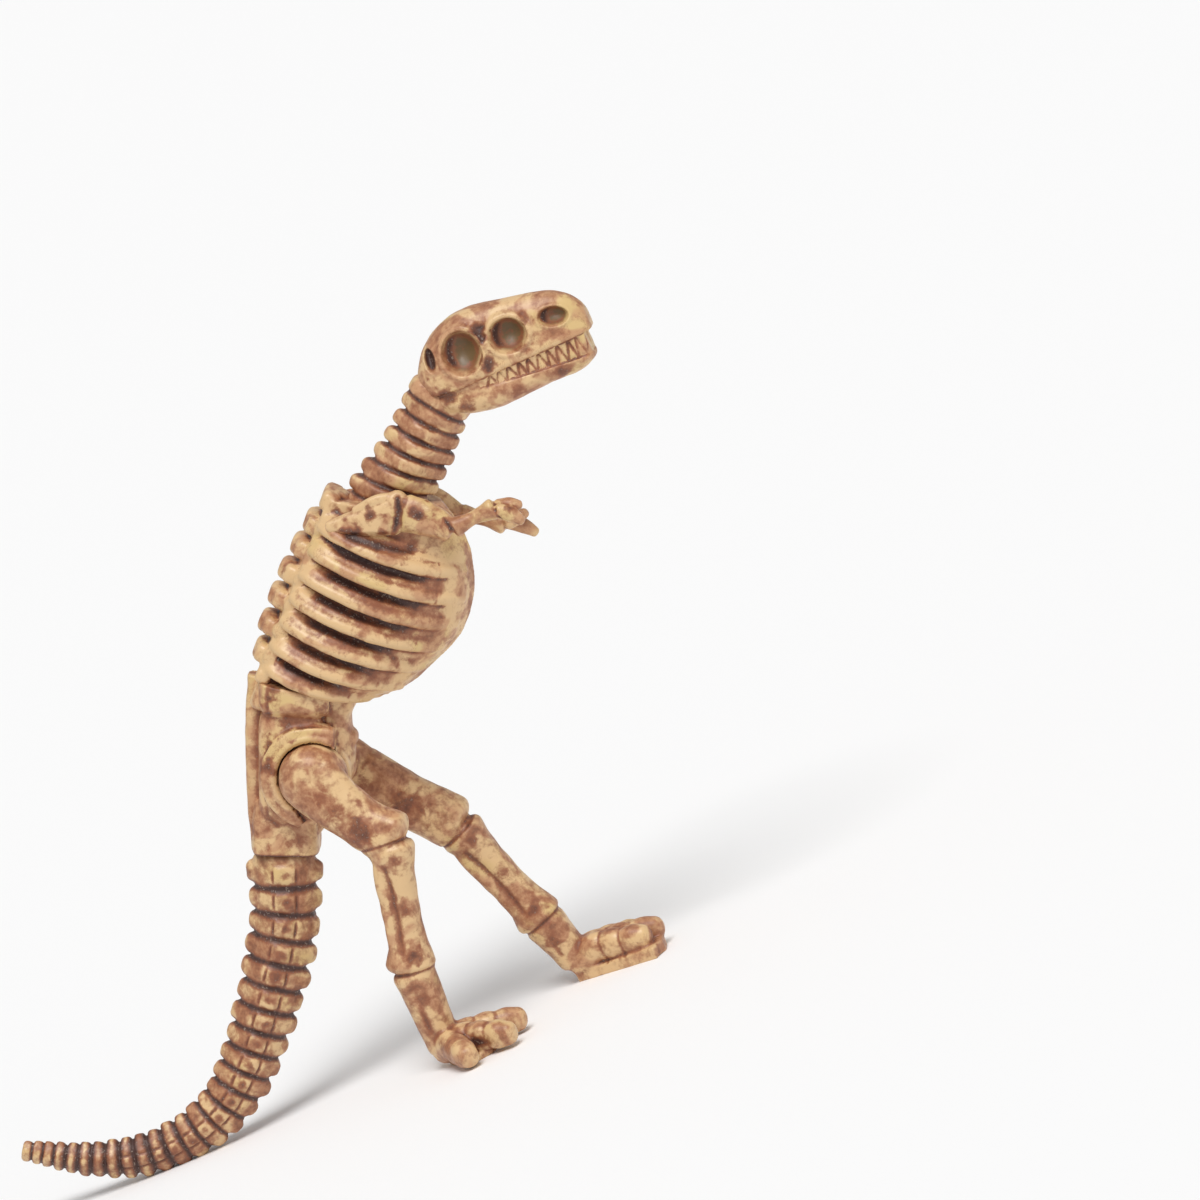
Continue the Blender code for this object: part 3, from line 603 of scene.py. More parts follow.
def curvePlace(path, share):  # point and direction at a share of the length
    steps = np.linalg.norm(np.diff(path, axis=0), axis=1)
    along = np.concatenate([[0], np.cumsum(steps)])
    d = share * along[-1]
    k = min(int(np.searchsorted(along, d, side="right")) - 1, len(steps) - 1)
    t = (d - along[k]) / steps[k]
    a, b = path[max(k - 1, 0)], path[min(k + 2, len(path) - 1)]
    return path[k] * (1 - t) + path[k + 1] * t, unit(b - a)


def chain(path, count, firstPitch, lastPitch):
    pitches = np.linspace(firstPitch, lastPitch, count)
    pitches *= np.linalg.norm(np.diff(path, axis=0), axis=1).sum() / pitches.sum()
    ends = np.concatenate([[0], np.cumsum(pitches)])
    return (ends[:-1] + ends[1:]) / 2 / ends[-1], pitches


# Camera, light and floor
studioValues = {
    "azimuth": 11.0, "elevation": 11.0, "roll": 25.0,  # degrees from the animal's right side
    "distance": 3.6, "lens": 540.0, "sensor": 36.0,
    "aim": (0.0564, 0.0334),  # metres right of and above the hip, in the picture
    "lights": {  # direction in the camera's own right, up and back; softness and power
        "keyBox": ((-0.35, 0.80, 0.75), 30.0, 2.1),
        "fillBox": ((0.85, 0.05, 0.70), 60.0, 0.35),
    },
    "lampDistance": 0.8, "worldStrength": 0.44,
    "floorHalf": 90.0, "floorColour": "FAFAFA", "floorRoughness": 0.9,
}


def buildStudio():
    v = studioValues
    az, el, roll = (math.radians(v[k]) for k in ("azimuth", "elevation", "roll"))
    r = Vector((math.cos(az), math.sin(az), 0))
    u = Vector((-math.sin(az) * math.sin(el), math.cos(az) * math.sin(el), math.cos(el)))
    back = Vector((math.sin(az) * math.cos(el), -math.cos(az) * math.cos(el), math.sin(el)))
    right = r * math.cos(roll) - u * math.sin(roll)
    up = r * math.sin(roll) + u * math.cos(roll)
    middle = Vector((hip + shift) * mm) + right * v["aim"][0] + up * v["aim"][1]
    camera = bpy.data.cameras.new("camera")
    camera.lens = v["lens"]
    camera.sensor_width = v["sensor"]
    camera.clip_start, camera.clip_end = 0.05, 100.0
    eye = addObject("camera", camera)
    eye.matrix_world = Matrix.Translation(middle + back * v["distance"]) @ Matrix(
        (right, up, back)).transposed().to_4x4()
    bpy.context.scene.camera = eye
    for name, (way, softness, power) in v["lights"].items():
        lamp = bpy.data.lights.new(name, "SUN")
        lamp.angle = math.radians(softness)
        lamp.energy = power
        box = addObject(name, lamp)
        toward = (right * way[0] + up * way[1] + back * way[2]).normalized()
        box.location = middle + toward * v["lampDistance"]
        box.rotation_euler = toward.to_track_quat("Z", "Y").to_euler()
    world = bpy.data.worlds.new("studio")
    bpy.context.scene.world = world
    world.use_nodes = True
    world.node_tree.nodes["Background"].inputs["Color"].default_value = (1, 1, 1, 1)
    world.node_tree.nodes["Background"].inputs["Strength"].default_value = v["worldStrength"]
    mesh = bpy.data.meshes.new("floor")
    s = v["floorHalf"]
    mesh.from_pydata([(-s, -s, 0), (s, -s, 0), (s, s, 0), (-s, s, 0)], [], [(0, 1, 2, 3)])
    floor = addObject("floor", mesh)
    mat = bpy.data.materials.new("mattWhiteBoard")  # matt painted board, no pattern
    mat.use_nodes = True
    mat.node_tree.nodes["Principled BSDF"].inputs["Base Color"].default_value = srgb(v["floorColour"])
    mat.node_tree.nodes["Principled BSDF"].inputs["Roughness"].default_value = v["floorRoughness"]
    mesh.materials.append(mat)
    bpy.context.scene.view_settings.view_transform = "Standard"
    print("studio ready")


buildStudio()
vinylLight = washedVinyl("mouldedVinylBrownWash", 0.0, 0.0)
vinylMiddle = washedVinyl("mouldedVinylMediumWash", 0.028, 20.0)
vinylDark = washedVinyl("mouldedVinylHeavyWash", 0.05, 40.0)


# Head
headValues = {
    "halfWidth": 6.8,
    "mouthPoint": (88.0, 120.3),
    "mouthSlope": -0.1229,
    "toothLine": 124.8,
    "toothPitch": 2.1,
    "toothFirst": 86.3,
    "teethPerSide": 11,
    "voxel": 0.2,
    "mouthStops": (53.5, 57, 60, 63.5, 68, 74, 81, 87),
    "gumStops": (63.5, 68, 74, 81, 87),
    "lipStops": (62, 70, 78, 86),
    "brow": ((58, 135.4), (64, 136.6), (72, 135.2), (80, 133.6)),
    "dabs": [  # x, z, the x and the share of the cheek's width, radius, dark, depth
        (68.0, 134.4, 68.0, 0.90, 2.6, 1.00, 0.7), (68.2, 132.3, 68.0, 0.95, 1.7, 0.90, 0.4),
        (67.6, 127.6, 67.6, 1.00, 2.6, 0.80, 0.2), (77.6, 132.2, 77.5, 1.00, 2.2, 0.60, 0.2),
        (57.0, 124.3, 57.0, 1.00, 3.6, 0.70, 0.0), (60.0, 121.0, 59.5, 1.00, 3.0, 0.50, 0.0),
        (70.0, 119.8, 66.5, 1.00, 3.2, 0.40, 0.0), (80.5, 119.2, 79.5, 1.00, 3.4, 0.60, 0.0),
        (75.0, 126.9, 75.0, 1.00, 2.6, 0.45, 0.0)],
}
skullStations = [  # x, low, high, width share
    (52.6, 126.5, 130.0, 0.50), (54.9, 120.0, 133.4, 0.82), (58.5, 118.0, 136.2, 0.97),
    (63.0, 118.0, 137.9, 1.00), (68.0, 118.0, 138.1, 0.95), (73.0, 118.0, 137.2, 0.86),
    (78.0, 118.0, 136.2, 0.78), (83.0, 118.0, 135.0, 0.72), (86.3, 119.0, 133.0, 0.62),
    (88.0, 121.0, 130.9, 0.46), (88.7, 125.0, 129.2, 0.28),
]
jawStations = [
    (54.3, 122.2, 126.0, 0.62), (56.5, 120.0, 126.0, 0.88), (60.0, 118.3, 126.0, 0.98),
    (66.0, 117.3, 126.0, 0.97), (72.0, 117.6, 126.0, 0.90), (78.0, 117.8, 126.0, 0.80),
    (83.0, 117.7, 126.0, 0.74), (86.0, 118.7, 126.0, 0.58), (87.2, 119.6, 126.0, 0.36),
]
skullPits = {  # centre x, z, half sizes, tilt of the long axis, depth, rim height
    "orbit": ((63.3, 131.1), (3.8, 4.1), 0, 3.5, 0.6),
    "antorbital": ((73.1, 130.7), (3.6, 3.3), -20, 3.0, 0.5),
    "nostril": ((82.8, 130.5), (2.9, 1.8), -18, 2.1, 0.35),
    "temple": ((56.6, 132.0), (1.1, 2.2), -8, 2.2, 0.3),
}


def mouthHeight(x):
    px, pz = headValues["mouthPoint"]
    return pz + (x - px) * headValues["mouthSlope"]


def skullRing(row, sides=56, inset=0.0):
    x, low, high, share = row
    a = 2 * np.pi * (np.arange(sides) + 0.5) / sides
    c, s = np.cos(a), np.sin(a)
    y = np.sign(c) * np.abs(c) ** 0.75 * (headValues["halfWidth"] * share - inset)
    z = np.sign(s) * np.abs(s) ** 0.75
    y = y * (1.0 - 0.22 * np.maximum(z, 0.0))
    return np.stack([np.full(sides, x), y, (low + high) / 2 + z * (high - low) / 2], 1)


def widthAt(x):
    rows = smoothRows(skullStations, 4)
    return headValues["halfWidth"] * np.interp(x, rows[:, 0], rows[:, 3])


def cutPlane(mesh, point, normal):  # keeps what the normal points away from, and closes the cut
    bm = bmesh.new()
    bm.from_mesh(mesh)
    made = bmesh.ops.bisect_plane(bm, geom=bm.verts[:] + bm.edges[:] + bm.faces[:], clear_outer=True,
                                  plane_co=Vector((np.asarray(point) + shift) * mm), plane_no=Vector(normal))
    edges = [g for g in made["geom_cut"] if isinstance(g, bmesh.types.BMEdge)]
    bmesh.ops.holes_fill(bm, edges=edges, sides=0)
    bm.to_mesh(mesh)
    bm.free()


def cutLoft(store, rings, planes):  # a loft with flat ends or sides, added to the store
    own = emptyStore()
    addLoft(own, rings)
    mesh = meshFrom("cut", own["verts"][0], own["faces"])
    for point, normal in planes:
        cutPlane(mesh, point, normal)
    addShell(store, readPoints(mesh), [list(p.vertices) for p in mesh.polygons])
    bpy.data.meshes.remove(mesh)


def pitField(p, centre, halves, tilt):  # offsets from the centre, and the distance in half sizes
    a = math.radians(tilt)
    dx, dz = p[:, 0] - centre[0], p[:, 2] - centre[1]
    q = np.hypot((dx * math.cos(a) + dz * math.sin(a)) / halves[0],
                 (dz * math.cos(a) - dx * math.sin(a)) / halves[1])
    return dx, dz, q


def toothPlaces():
    v = headValues
    places = []
    for side in (-1, 1):
        for i in range(v["teethPerSide"]):
            for low in (False, True):
                x = v["toothFirst"] - v["toothPitch"] * (i + (0.5 if low else 0.0))
                tall = v["toothLine"] - mouthHeight(x)
                if tall < 1.0:
                    continue
                y = side * (widthAt(min(x, 88.0)) - 0.95)
                slope = (widthAt(min(x + 0.5, 88.3)) - widthAt(x - 0.5)) * side
                along = unit((1.0, slope, 0))
                up = np.array([0, 0, 1.0 if low else -1.0])
                root = (mouthHeight(x) - 0.9) if low else (v["toothLine"] + 0.8)
                places.append((spot(x, root, y), (along, np.cross(up, along), up),
                               (0.9, 0.75, tall * 0.9 + 0.8)))
    for y in (-2.2, 0.0, 2.2):  # across the front of the snout
        x = 86.7 - 0.09 * y * y
        places.append((spot(x, v["toothLine"] + 0.8, y), ((0, 1.0, 0), (1.0, 0, 0), (0, 0, -1.0)),
                       (0.84, 0.7, 4.0)))
    for y in (-1.1, 1.1):
        places.append((spot(86.3, mouthHeight(87) - 0.9, y), ((0, 1.0, 0), (-1.0, 0, 0), (0, 0, 1.0)),
                       (0.95, 0.7, 4.2)))
    return places


def buildHead():
    v = headValues
    store = emptyStore()
    shell = [skullRing(r) for r in smoothRows(skullStations, 4)]
    cutLoft(store, shell, [((0, 0, v["toothLine"]), (0, 0, -1))])
    jaw = [skullRing(r) for r in smoothRows(jawStations, 4)]
    n = unit((-v["mouthSlope"], 0, 1))
    cutLoft(store, jaw, [((v["mouthPoint"][0], 0, v["mouthPoint"][1]), n)])
    wall = []  # behind the teeth
    for x in np.linspace(55.0, 86.9, 26):
        inset = 0.4 + 0.35 * float(ramp(x, 62.0, 65.5))
        wall.append(skullRing((x, 119.5, 128.0, widthAt(x) / v["halfWidth"]), inset=inset))
    addLoft(store, wall)
    scatter(store, toothPlaces(), toothPiece, 0.06, 5, vinylLight)
    obj = fuse("headMoulding", store, v["voxel"])
    carver = startCarving(obj)
    p = carver.p
    for centre, halves, tilt, depth, rim in skullPits.values():
        _, _, q = pitField(p, centre, halves, tilt)
        outer = (np.abs(p[:, 1]) > 1.5) & (p[:, 2] > v["toothLine"] + 0.4)
        inward = np.clip(1 - (q / 1.08) ** 2, 0, 1) ** 0.75 * outer
        lip = np.exp(-(((q - 1.2) / 0.15) ** 2)) * outer
        p[:, 1] -= np.sign(p[:, 1]) * (depth * inward - rim * lip)
    carver.refresh()
    reskin(obj, v["voxel"])
    carver = startCarving(obj)
    for side in (-1, 1):
        def cheek(x, z, share=1.0):
            return spot(x, z, side * widthAt(x) * share)
        carver.groove([cheek(x, mouthHeight(x) + 0.2) for x in v["mouthStops"]], 0.4, 0.35, 0.7)
        carver.groove([cheek(x, v["toothLine"] - 0.1) for x in v["gumStops"]], 0.3, 0.25, 0.6)
        carver.ridge([cheek(x, v["toothLine"] + 1.0) for x in v["lipStops"]], 0.8, 0.3)
        carver.ridge([cheek(x, z, 0.86) for x, z in v["brow"]], 1.1, 0.5)
        for x, z, at, share, radius, dark, depth in v["dabs"]:
            carver.dab(spot(x, z, side * widthAt(at) * share), radius, dark, depth)
    p = carver.p
    gap = mouthHeight(p[:, 0])  # the band of teeth stays clean
    band = ramp(p[:, 2], gap, gap + 0.3) * ramp(v["toothLine"] - p[:, 2], 0, 0.3)
    carver.paint = np.where((band > 0.5) & (p[:, 0] > 64.0), -0.6, carver.paint)
    pit = np.zeros(len(p))
    for side in (-1, 1):  # the zigzag between the upper and the lower teeth
        zigzag = []
        for i in range(2 * v["teethPerSide"]):
            x = v["toothFirst"] + (0.5 - 0.5 * i) * v["toothPitch"]
            x += 0.16 * math.sin(5.1 * i) + 0.1 * math.sin(2.3 * i + side)
            z = v["toothLine"] + 0.1 if i % 2 == 0 else mouthHeight(x) - 0.1
            if v["toothLine"] - mouthHeight(x) > 1.2:
                zigzag.append(spot(x, z, side * (widthAt(min(x, 88.0)) - 0.6)))
        carver.groove(zigzag, 0.26, 0.18, 0.4, where=np.abs(p[:, 1]) > 0.6)
    # Painted shade inside each opening: darker on its upper rear wall and round its inner edge, the small temple
    # openings dark all over
    for centre, halves, tilt, _, _ in skullPits.values():
        dx, dz, q = pitField(p, centre, halves, tilt)
        inner = ramp(1.05 - q, 0.0, 0.3) * (np.abs(p[:, 1]) > 0.8) * (p[:, 2] > v["toothLine"])
        rear = ramp(-dx / halves[0] + 0.3 * dz / halves[1], 0.1, 0.9)
        edge = np.exp(-(((q - 0.8) / 0.2) ** 2))
        shade = 1.0 if halves[0] < 1.5 else np.clip(0.75 * rear + 0.4 * edge, 0, 1)
        carver.darken(inner * shade)
        pit = np.maximum(pit, inner)
    carver.uneven(2.3, 0.10)
    dress(carver, vinylLight, "trunk", ("skull", "lower_jaw"), 0.16, 0.7, pit)


# Neck and tail
neckValues = {
    "rings": 6, "pitches": (3.9, 3.6), "deep": (8.4, 6.9), "flat": 0.72, "tilt": (50.0, 36.0), "voxel": 0.26,
    "path": [(35.2, 109.3), (40.5, 112.2), (46.2, 116.0), (49.4, 118.9), (53.2, 122.4)],
    "core": [(31.0, 0, 105.5, 4.9, 6.7), (38.5, 0, 111.2, 4.8, 6.5), (44.8, 0, 115.0, 4.4, 5.8),
             (50.6, 0, 119.8, 4.4, 5.8), (54.6, 0, 123.6, 5.0, 6.9)],
}
tailValues = {
    "rings": 26, "pitches": (5.6, 2.0), "flat": 0.76, "voxel": 0.28,
    "taper": ([0.0, 0.4, 0.7, 0.85, 1.0], [7.8, 6.5, 4.7, 3.8, 2.1]),
    "path": [(-14.0, 50.0), (-19.3, 38.2), (-27.6, 26.4), (-40.3, 12.3), (-50.7, 5.9), (-64.0, 4.3),
             (-76.4, 7.9), (-88.7, 15.1)],
    "sideLines": [(0.42, 0.4, 0.915), (-0.28, 0.35, 0.957)],  # height, depth, radius left by the lobes
}


def boundaries(pitches):  # shares of the length at which one ring ends and the next begins
    return np.concatenate([[0], np.cumsum(pitches)]) / np.sum(pitches)


def buildNeck():
    v = neckValues
    path = smoothRows([(x, 0, z) for x, z in v["path"]], 8)
    shares, pitches = chain(path, v["rings"], *v["pitches"])
    places = []
    for share, pitch in zip(shares, pitches):
        centre, _ = curvePlace(path, share)
        deep = np.interp(share, [0, 1], v["deep"])
        forward = heading(np.interp(share, [0, 1], v["tilt"]))
        places.append((centre, axesFor(forward), (deep, deep * v["flat"], pitch * 0.55)))
    store = emptyStore()
    scatter(store, places, vertebraPiece, 0.02, 8, vinylLight)
    addLimb(store, v["core"])
    carver = startCarving(fuse("neckMoulding", store, v["voxel"]))
    for share in boundaries(pitches):
        centre, _ = curvePlace(path, share)
        forward = heading(np.interp(share, [0, 1], v["tilt"]))
        carver.crease(centre, forward, 9.5, 0.4, 0.3, 0.9, spill=1.4)
    carver.uneven(2.6, 0.18)
    dress(carver, vinylLight, "trunk", ("neck",), 0.14, 0.9)


def buildTail():
    v = tailValues
    path = smoothRows([(x, 0, z) for x, z in v["path"]], 8)
    shares, pitches = chain(path, v["rings"], *v["pitches"])
    places = []
    for share, pitch in zip(shares, pitches):
        centre, forward = curvePlace(path, share)
        deep = np.interp(share, *v["taper"])
        places.append((centre, axesFor(forward), (deep, deep * v["flat"], pitch * 0.515)))
    store = emptyStore()
    scatter(store, places, vertebraPiece, 0.03, 21, vinylDark)
    core = []
    for share in np.linspace(0.01, 0.985, 24):
        centre, _ = curvePlace(path, share)
        deep = np.interp(share, *v["taper"]) * 0.84
        core.append((*centre, deep * v["flat"], deep))
    addLimb(store, core, steps=2)
    carver = startCarving(fuse("tailMoulding", store, v["voxel"]), 1)
    for side in (-1, 1):  # the lines that part the spines, the bosses and the chevrons
        for rise, depth, left in v["sideLines"]:
            line = []
            for share in np.linspace(0.0, 0.8, 60):
                centre, forward = curvePlace(path, share)
                back, across, _ = axesFor(forward)
                deep = np.interp(share, *v["taper"]) * left
                out = side * deep * v["flat"] * math.cos(math.asin(rise))
                line.append(centre - back * deep * rise + across * out)
            carver.groove(line, 0.35, depth, 0.65)
        for share in shares[:16]:
            centre, forward = curvePlace(path, share)
            deep = np.interp(share, *v["taper"])
            back, across, _ = axesFor(forward)
            carver.dab(centre - back * deep * 0.1 + across * side * deep * v["flat"], 1.5, 0.5, 0.1)
    for share, pitch in zip(boundaries(pitches)[1:-1], pitches[1:]):
        centre, forward = curvePlace(path, share)
        reach = np.interp(share, *v["taper"]) * 1.25
        spill = 1.9 + 1.8 * float(ramp(share, 0.6, 0.75) * ramp(0.96 - share, 0.0, 0.06))
        carver.crease(centre, forward, reach, pitch * 0.09, 0.3, 1.0, spill)
    carver.uneven(1.8, 0.18)
    floorLow = carver.p[:, 2] < 0.0
    carver.p[floorLow, 2] = 0.0
    dress(carver, vinylDark, "trunk", ("tail_base", "tail_middle", "tail_tip"), 0.12, 0.8)


# Trunk
trunkValues = {
    "origin": (-3.8, 86.0), "angle": 44.0, "ribRadius": 1.4, "wallInset": 3.1, "voxel": 0.34,
    "waist": ((-3.1, 86.6), (0.56, 0, 0.83)), "neckEnd": ((39.6, 107.2), (0.45, 0, 0.89)),
    "stations": [  # distance up the back, depth of the belly, half width
        (-9.0, 17.0, 7.5), (3.7, 21.8, 9.8), (9.4, 28.2, 11.6), (17.1, 32.3, 12.9), (25.0, 35.0, 13.5),
        (33.0, 34.4, 13.5), (38.4, 32.1, 12.2), (42.5, 29.5, 10.4), (47.0, 24.0, 8.6), (50.5, 17.0, 7.0),
        (53.0, 12.0, 5.0)],
    "outline": ([0.0, 0.06, 0.2, 0.4, 0.6, 0.72, 0.82, 0.93, 1.0],
                [0.48, 0.70, 0.88, 1.0, 0.97, 0.84, 0.67, 0.40, 0.0]),
    "ribs": [35.9, 30.8, 25.5, 20.2, 14.9, 9.5, 4.7],
    "knobs": [40.5, 34.7, 29.3, 23.6, 17.9, 12.0, 6.2],
    "knobRise": [0.8, 2.6, 3.3, 3.7, 3.8, 3.5, 2.5],
    "backCore": [(-4.0, 2.9, 5.6, 2.3), (20.0, 1.9, 5.8, 2.4), (34.0, 2.3, 5.8, 2.4), (40.0, 3.8, 5.2, 2.4)],
    "armpit": [(36.7, 0.14), (37.2, 0.26), (38.0, 0.4), (39.2, 0.55), (40.2, 0.68)],
}


def trunkPlace(along, depth, y=0.0):
    x, z = trunkValues["origin"]
    return spot(x, z, y) + heading(trunkValues["angle"]) * along + heading(trunkValues["angle"] - 90) * depth


def trunkSize(along):
    rows = np.array(trunkValues["stations"])
    fine = smoothRows(rows, 6)
    return np.interp(along, fine[:, 0], fine[:, 1]), np.interp(along, fine[:, 0], fine[:, 2])


def outlineAt(share):
    fine = smoothRows(np.array(trunkValues["outline"]).T, 6)
    return np.interp(share, fine[:, 0], fine[:, 1])


def wallPoint(along, share, side, inset=0.0):
    belly, half = trunkSize(along)
    return trunkPlace(along, 0.3 + (belly - 0.3) * share, side * max(half * outlineAt(share) - inset, 0.05))


def ribAlong(start, share):  # ribs leave the back steeply and flatten towards the breast
    bow = np.interp(start, [3.6, 34.8], [1.3, 0.7])
    return start + 1.8 * share - bow * 4 * share * (1 - share)


def buildTrunk():
    v = trunkValues
    store = emptyStore()
    rings = []
    for along in np.linspace(-8.0, 52.5, 56):
        ring = []
        shares = np.concatenate([np.linspace(0.0, 0.8, 20), np.linspace(0.83, 1.0, 10)])
        for share in shares:
            hollow = 0.3 * ramp(0.96 - share, 0.0, 0.16) + 0.7 * ramp(0.80 - share, 0.0, 0.35)
            inset = v["wallInset"] * ramp(share, -0.02, 0.08) * hollow
            inset *= float(ramp(46.0 - along, 0.0, 7.0)) * float(ramp(along, -4.0, 5.0)) * 0.85 + 0.15
            ring.append(wallPoint(along, share, 1, inset))
        ring = np.array(ring)
        other = ring[::-1].copy()
        other[:, 1] *= -1
        rings.append(np.vstack([ring, other]))
    waist, neckEnd = v["waist"], v["neckEnd"]
    cutLoft(store, rings, [(spot(*waist[0]), -unit(waist[1])), (spot(*neckEnd[0]), unit(neckEnd[1]))])
    lines = []
    for side in (-1, 1):
        for start in v["ribs"]:
            crest, flank, slope = [], [], []
            for share in np.linspace(0.03, 0.93, 22):
                thick = v["ribRadius"] * (1.0 + 0.12 * float(ramp(share, 0.3, 0.75)))
                sink = 0.15 + 1.3 * float(ramp(share, 0.84, 0.97)) + 0.8 * float(ramp(0.1 - share, 0.0, 0.1))
                along = ribAlong(start, share)
                crest.append([*wallPoint(along, share, side, thick + sink - 0.2), thick])
                flank.append([*wallPoint(along + 1.3, share, side, thick + sink + 0.75), thick * 0.95])
                slope.append([*wallPoint(along + 2.3, share, side, thick + sink + 1.9), thick * 0.9])
            lines += [np.array(crest), np.array(flank), np.array(slope)]
    sweep(store, lines, 18)
    axes = (heading(v["angle"] + 90), sideways, heading(v["angle"]))
    places = []
    for along, rise in zip(v["knobs"], v["knobRise"]):
        half = max((rise + 3.4) / 2, 2.4)
        places.append((trunkPlace(along, half - rise), axes, (half, 3.2, 2.25)))
        places.append((trunkPlace(along, 0.9 - rise * 0.1), axes, (1.6 + rise * 0.45, 5.0, 2.2)))
    scatter(store, places, knobPiece, 0.03, 2, vinylLight)
    addLimb(store, [(*trunkPlace(along, depth), wide, deep) for along, depth, wide, deep in v["backCore"]])
    bosses = []
    for side in (-1, 1):  # where each rib leaves the back
        for along in v["knobs"][1:] + [2.0]:
            bosses.append((trunkPlace(along + 0.4, 1.6, side * 4.6), axes, (1.7, 2.3, 1.5)))
    scatter(store, bosses, knobPiece, 0.08, 9, vinylLight)
    carver = startCarving(fuse("trunkMoulding", store, v["voxel"]))
    for side in (-1, 1):  # the fine parting line across the rib ends
        line = [wallPoint(a, 0.80, side) for a in np.linspace(3.0, 40.0, 24)]
        carver.groove(line, 0.32, 0.12, 0.2)
        breast = [wallPoint(a, 0.92, side) for a in np.linspace(-4.0, 42.0, 16)]
        carver.ridge(breast, 3.2, 0.0, bare=0.4, fade=0.02)
        for start in v["ribs"]:
            for low, high, dark in ((0.08, 0.60, 1.0), (0.45, 0.76, 0.6)):
                gap = [wallPoint(ribAlong(start, s) - 2.3, s, side, 2.0) for s in np.linspace(low, high, 12)]
                carver.groove(gap, 1.35, 0.3, dark, fade=0.25)
            crest = [wallPoint(ribAlong(start, s) - 0.5, s, side) for s in np.linspace(0.06, 0.9, 16)]
            carver.ridge(crest, 0.75, 0.12, bare=0.2)
            flank = [wallPoint(ribAlong(start, s) + 1.7, s, side, 0.7) for s in np.linspace(0.1, 0.8, 14)]
            carver.groove(flank, 0.8, 0.0, 0.32, fade=0.2)
        under = [wallPoint(a, s, side, 1.2) for a, s in v["armpit"]]
        carver.groove(under, 1.5, 0.35, 1.0, fade=0.15)
        clean = [trunkPlace(a, 1.2, side * 5.2) for a in np.linspace(-2.0, 39.0, 12)]  # beside the knobs
        carver.ridge(clean, 2.6, 0.0, bare=0.9, fade=0.05)
    carver.uneven(2.8, 0.12)
    dress(carver, vinylMiddle, "trunk", ("backbone", "ribs_right", "ribs_left"))


# Arms
armValues = {
    "voxel": 0.24,
    "right": {"side": -1, "shoulder": (38.8, 106.8), "elbow": (46.9, 100.2), "wrist": (57.0, 100.6),
              "fingers": [(61.6, 99.0), (61.0, 96.2)]},
    "left": {"side": 1, "shoulder": (38.3, 104.7), "elbow": (45.4, 98.1), "wrist": (53.8, 93.4),
             "fingers": [(58.4, 93.6), (58.2, 88.8)]},
    "dabs": [  # joint, x and z from it, distance from the middle, radius, dark
        ("body", 29.0, 107.0, 10.6, 3.0, 0.9), ("body", 33.8, 109.2, 11.2, 2.4, 0.8),
        ("body", 34.6, 104.4, 11.0, 2.2, 0.7), ("shoulder", 4.0, -1.2, 12.0, 2.6, 0.85),
        ("shoulder", 2.2, 2.4, 11.2, 1.8, 0.7), ("wrist", 3.4, -0.6, 12.0, 1.8, 0.7)],
}


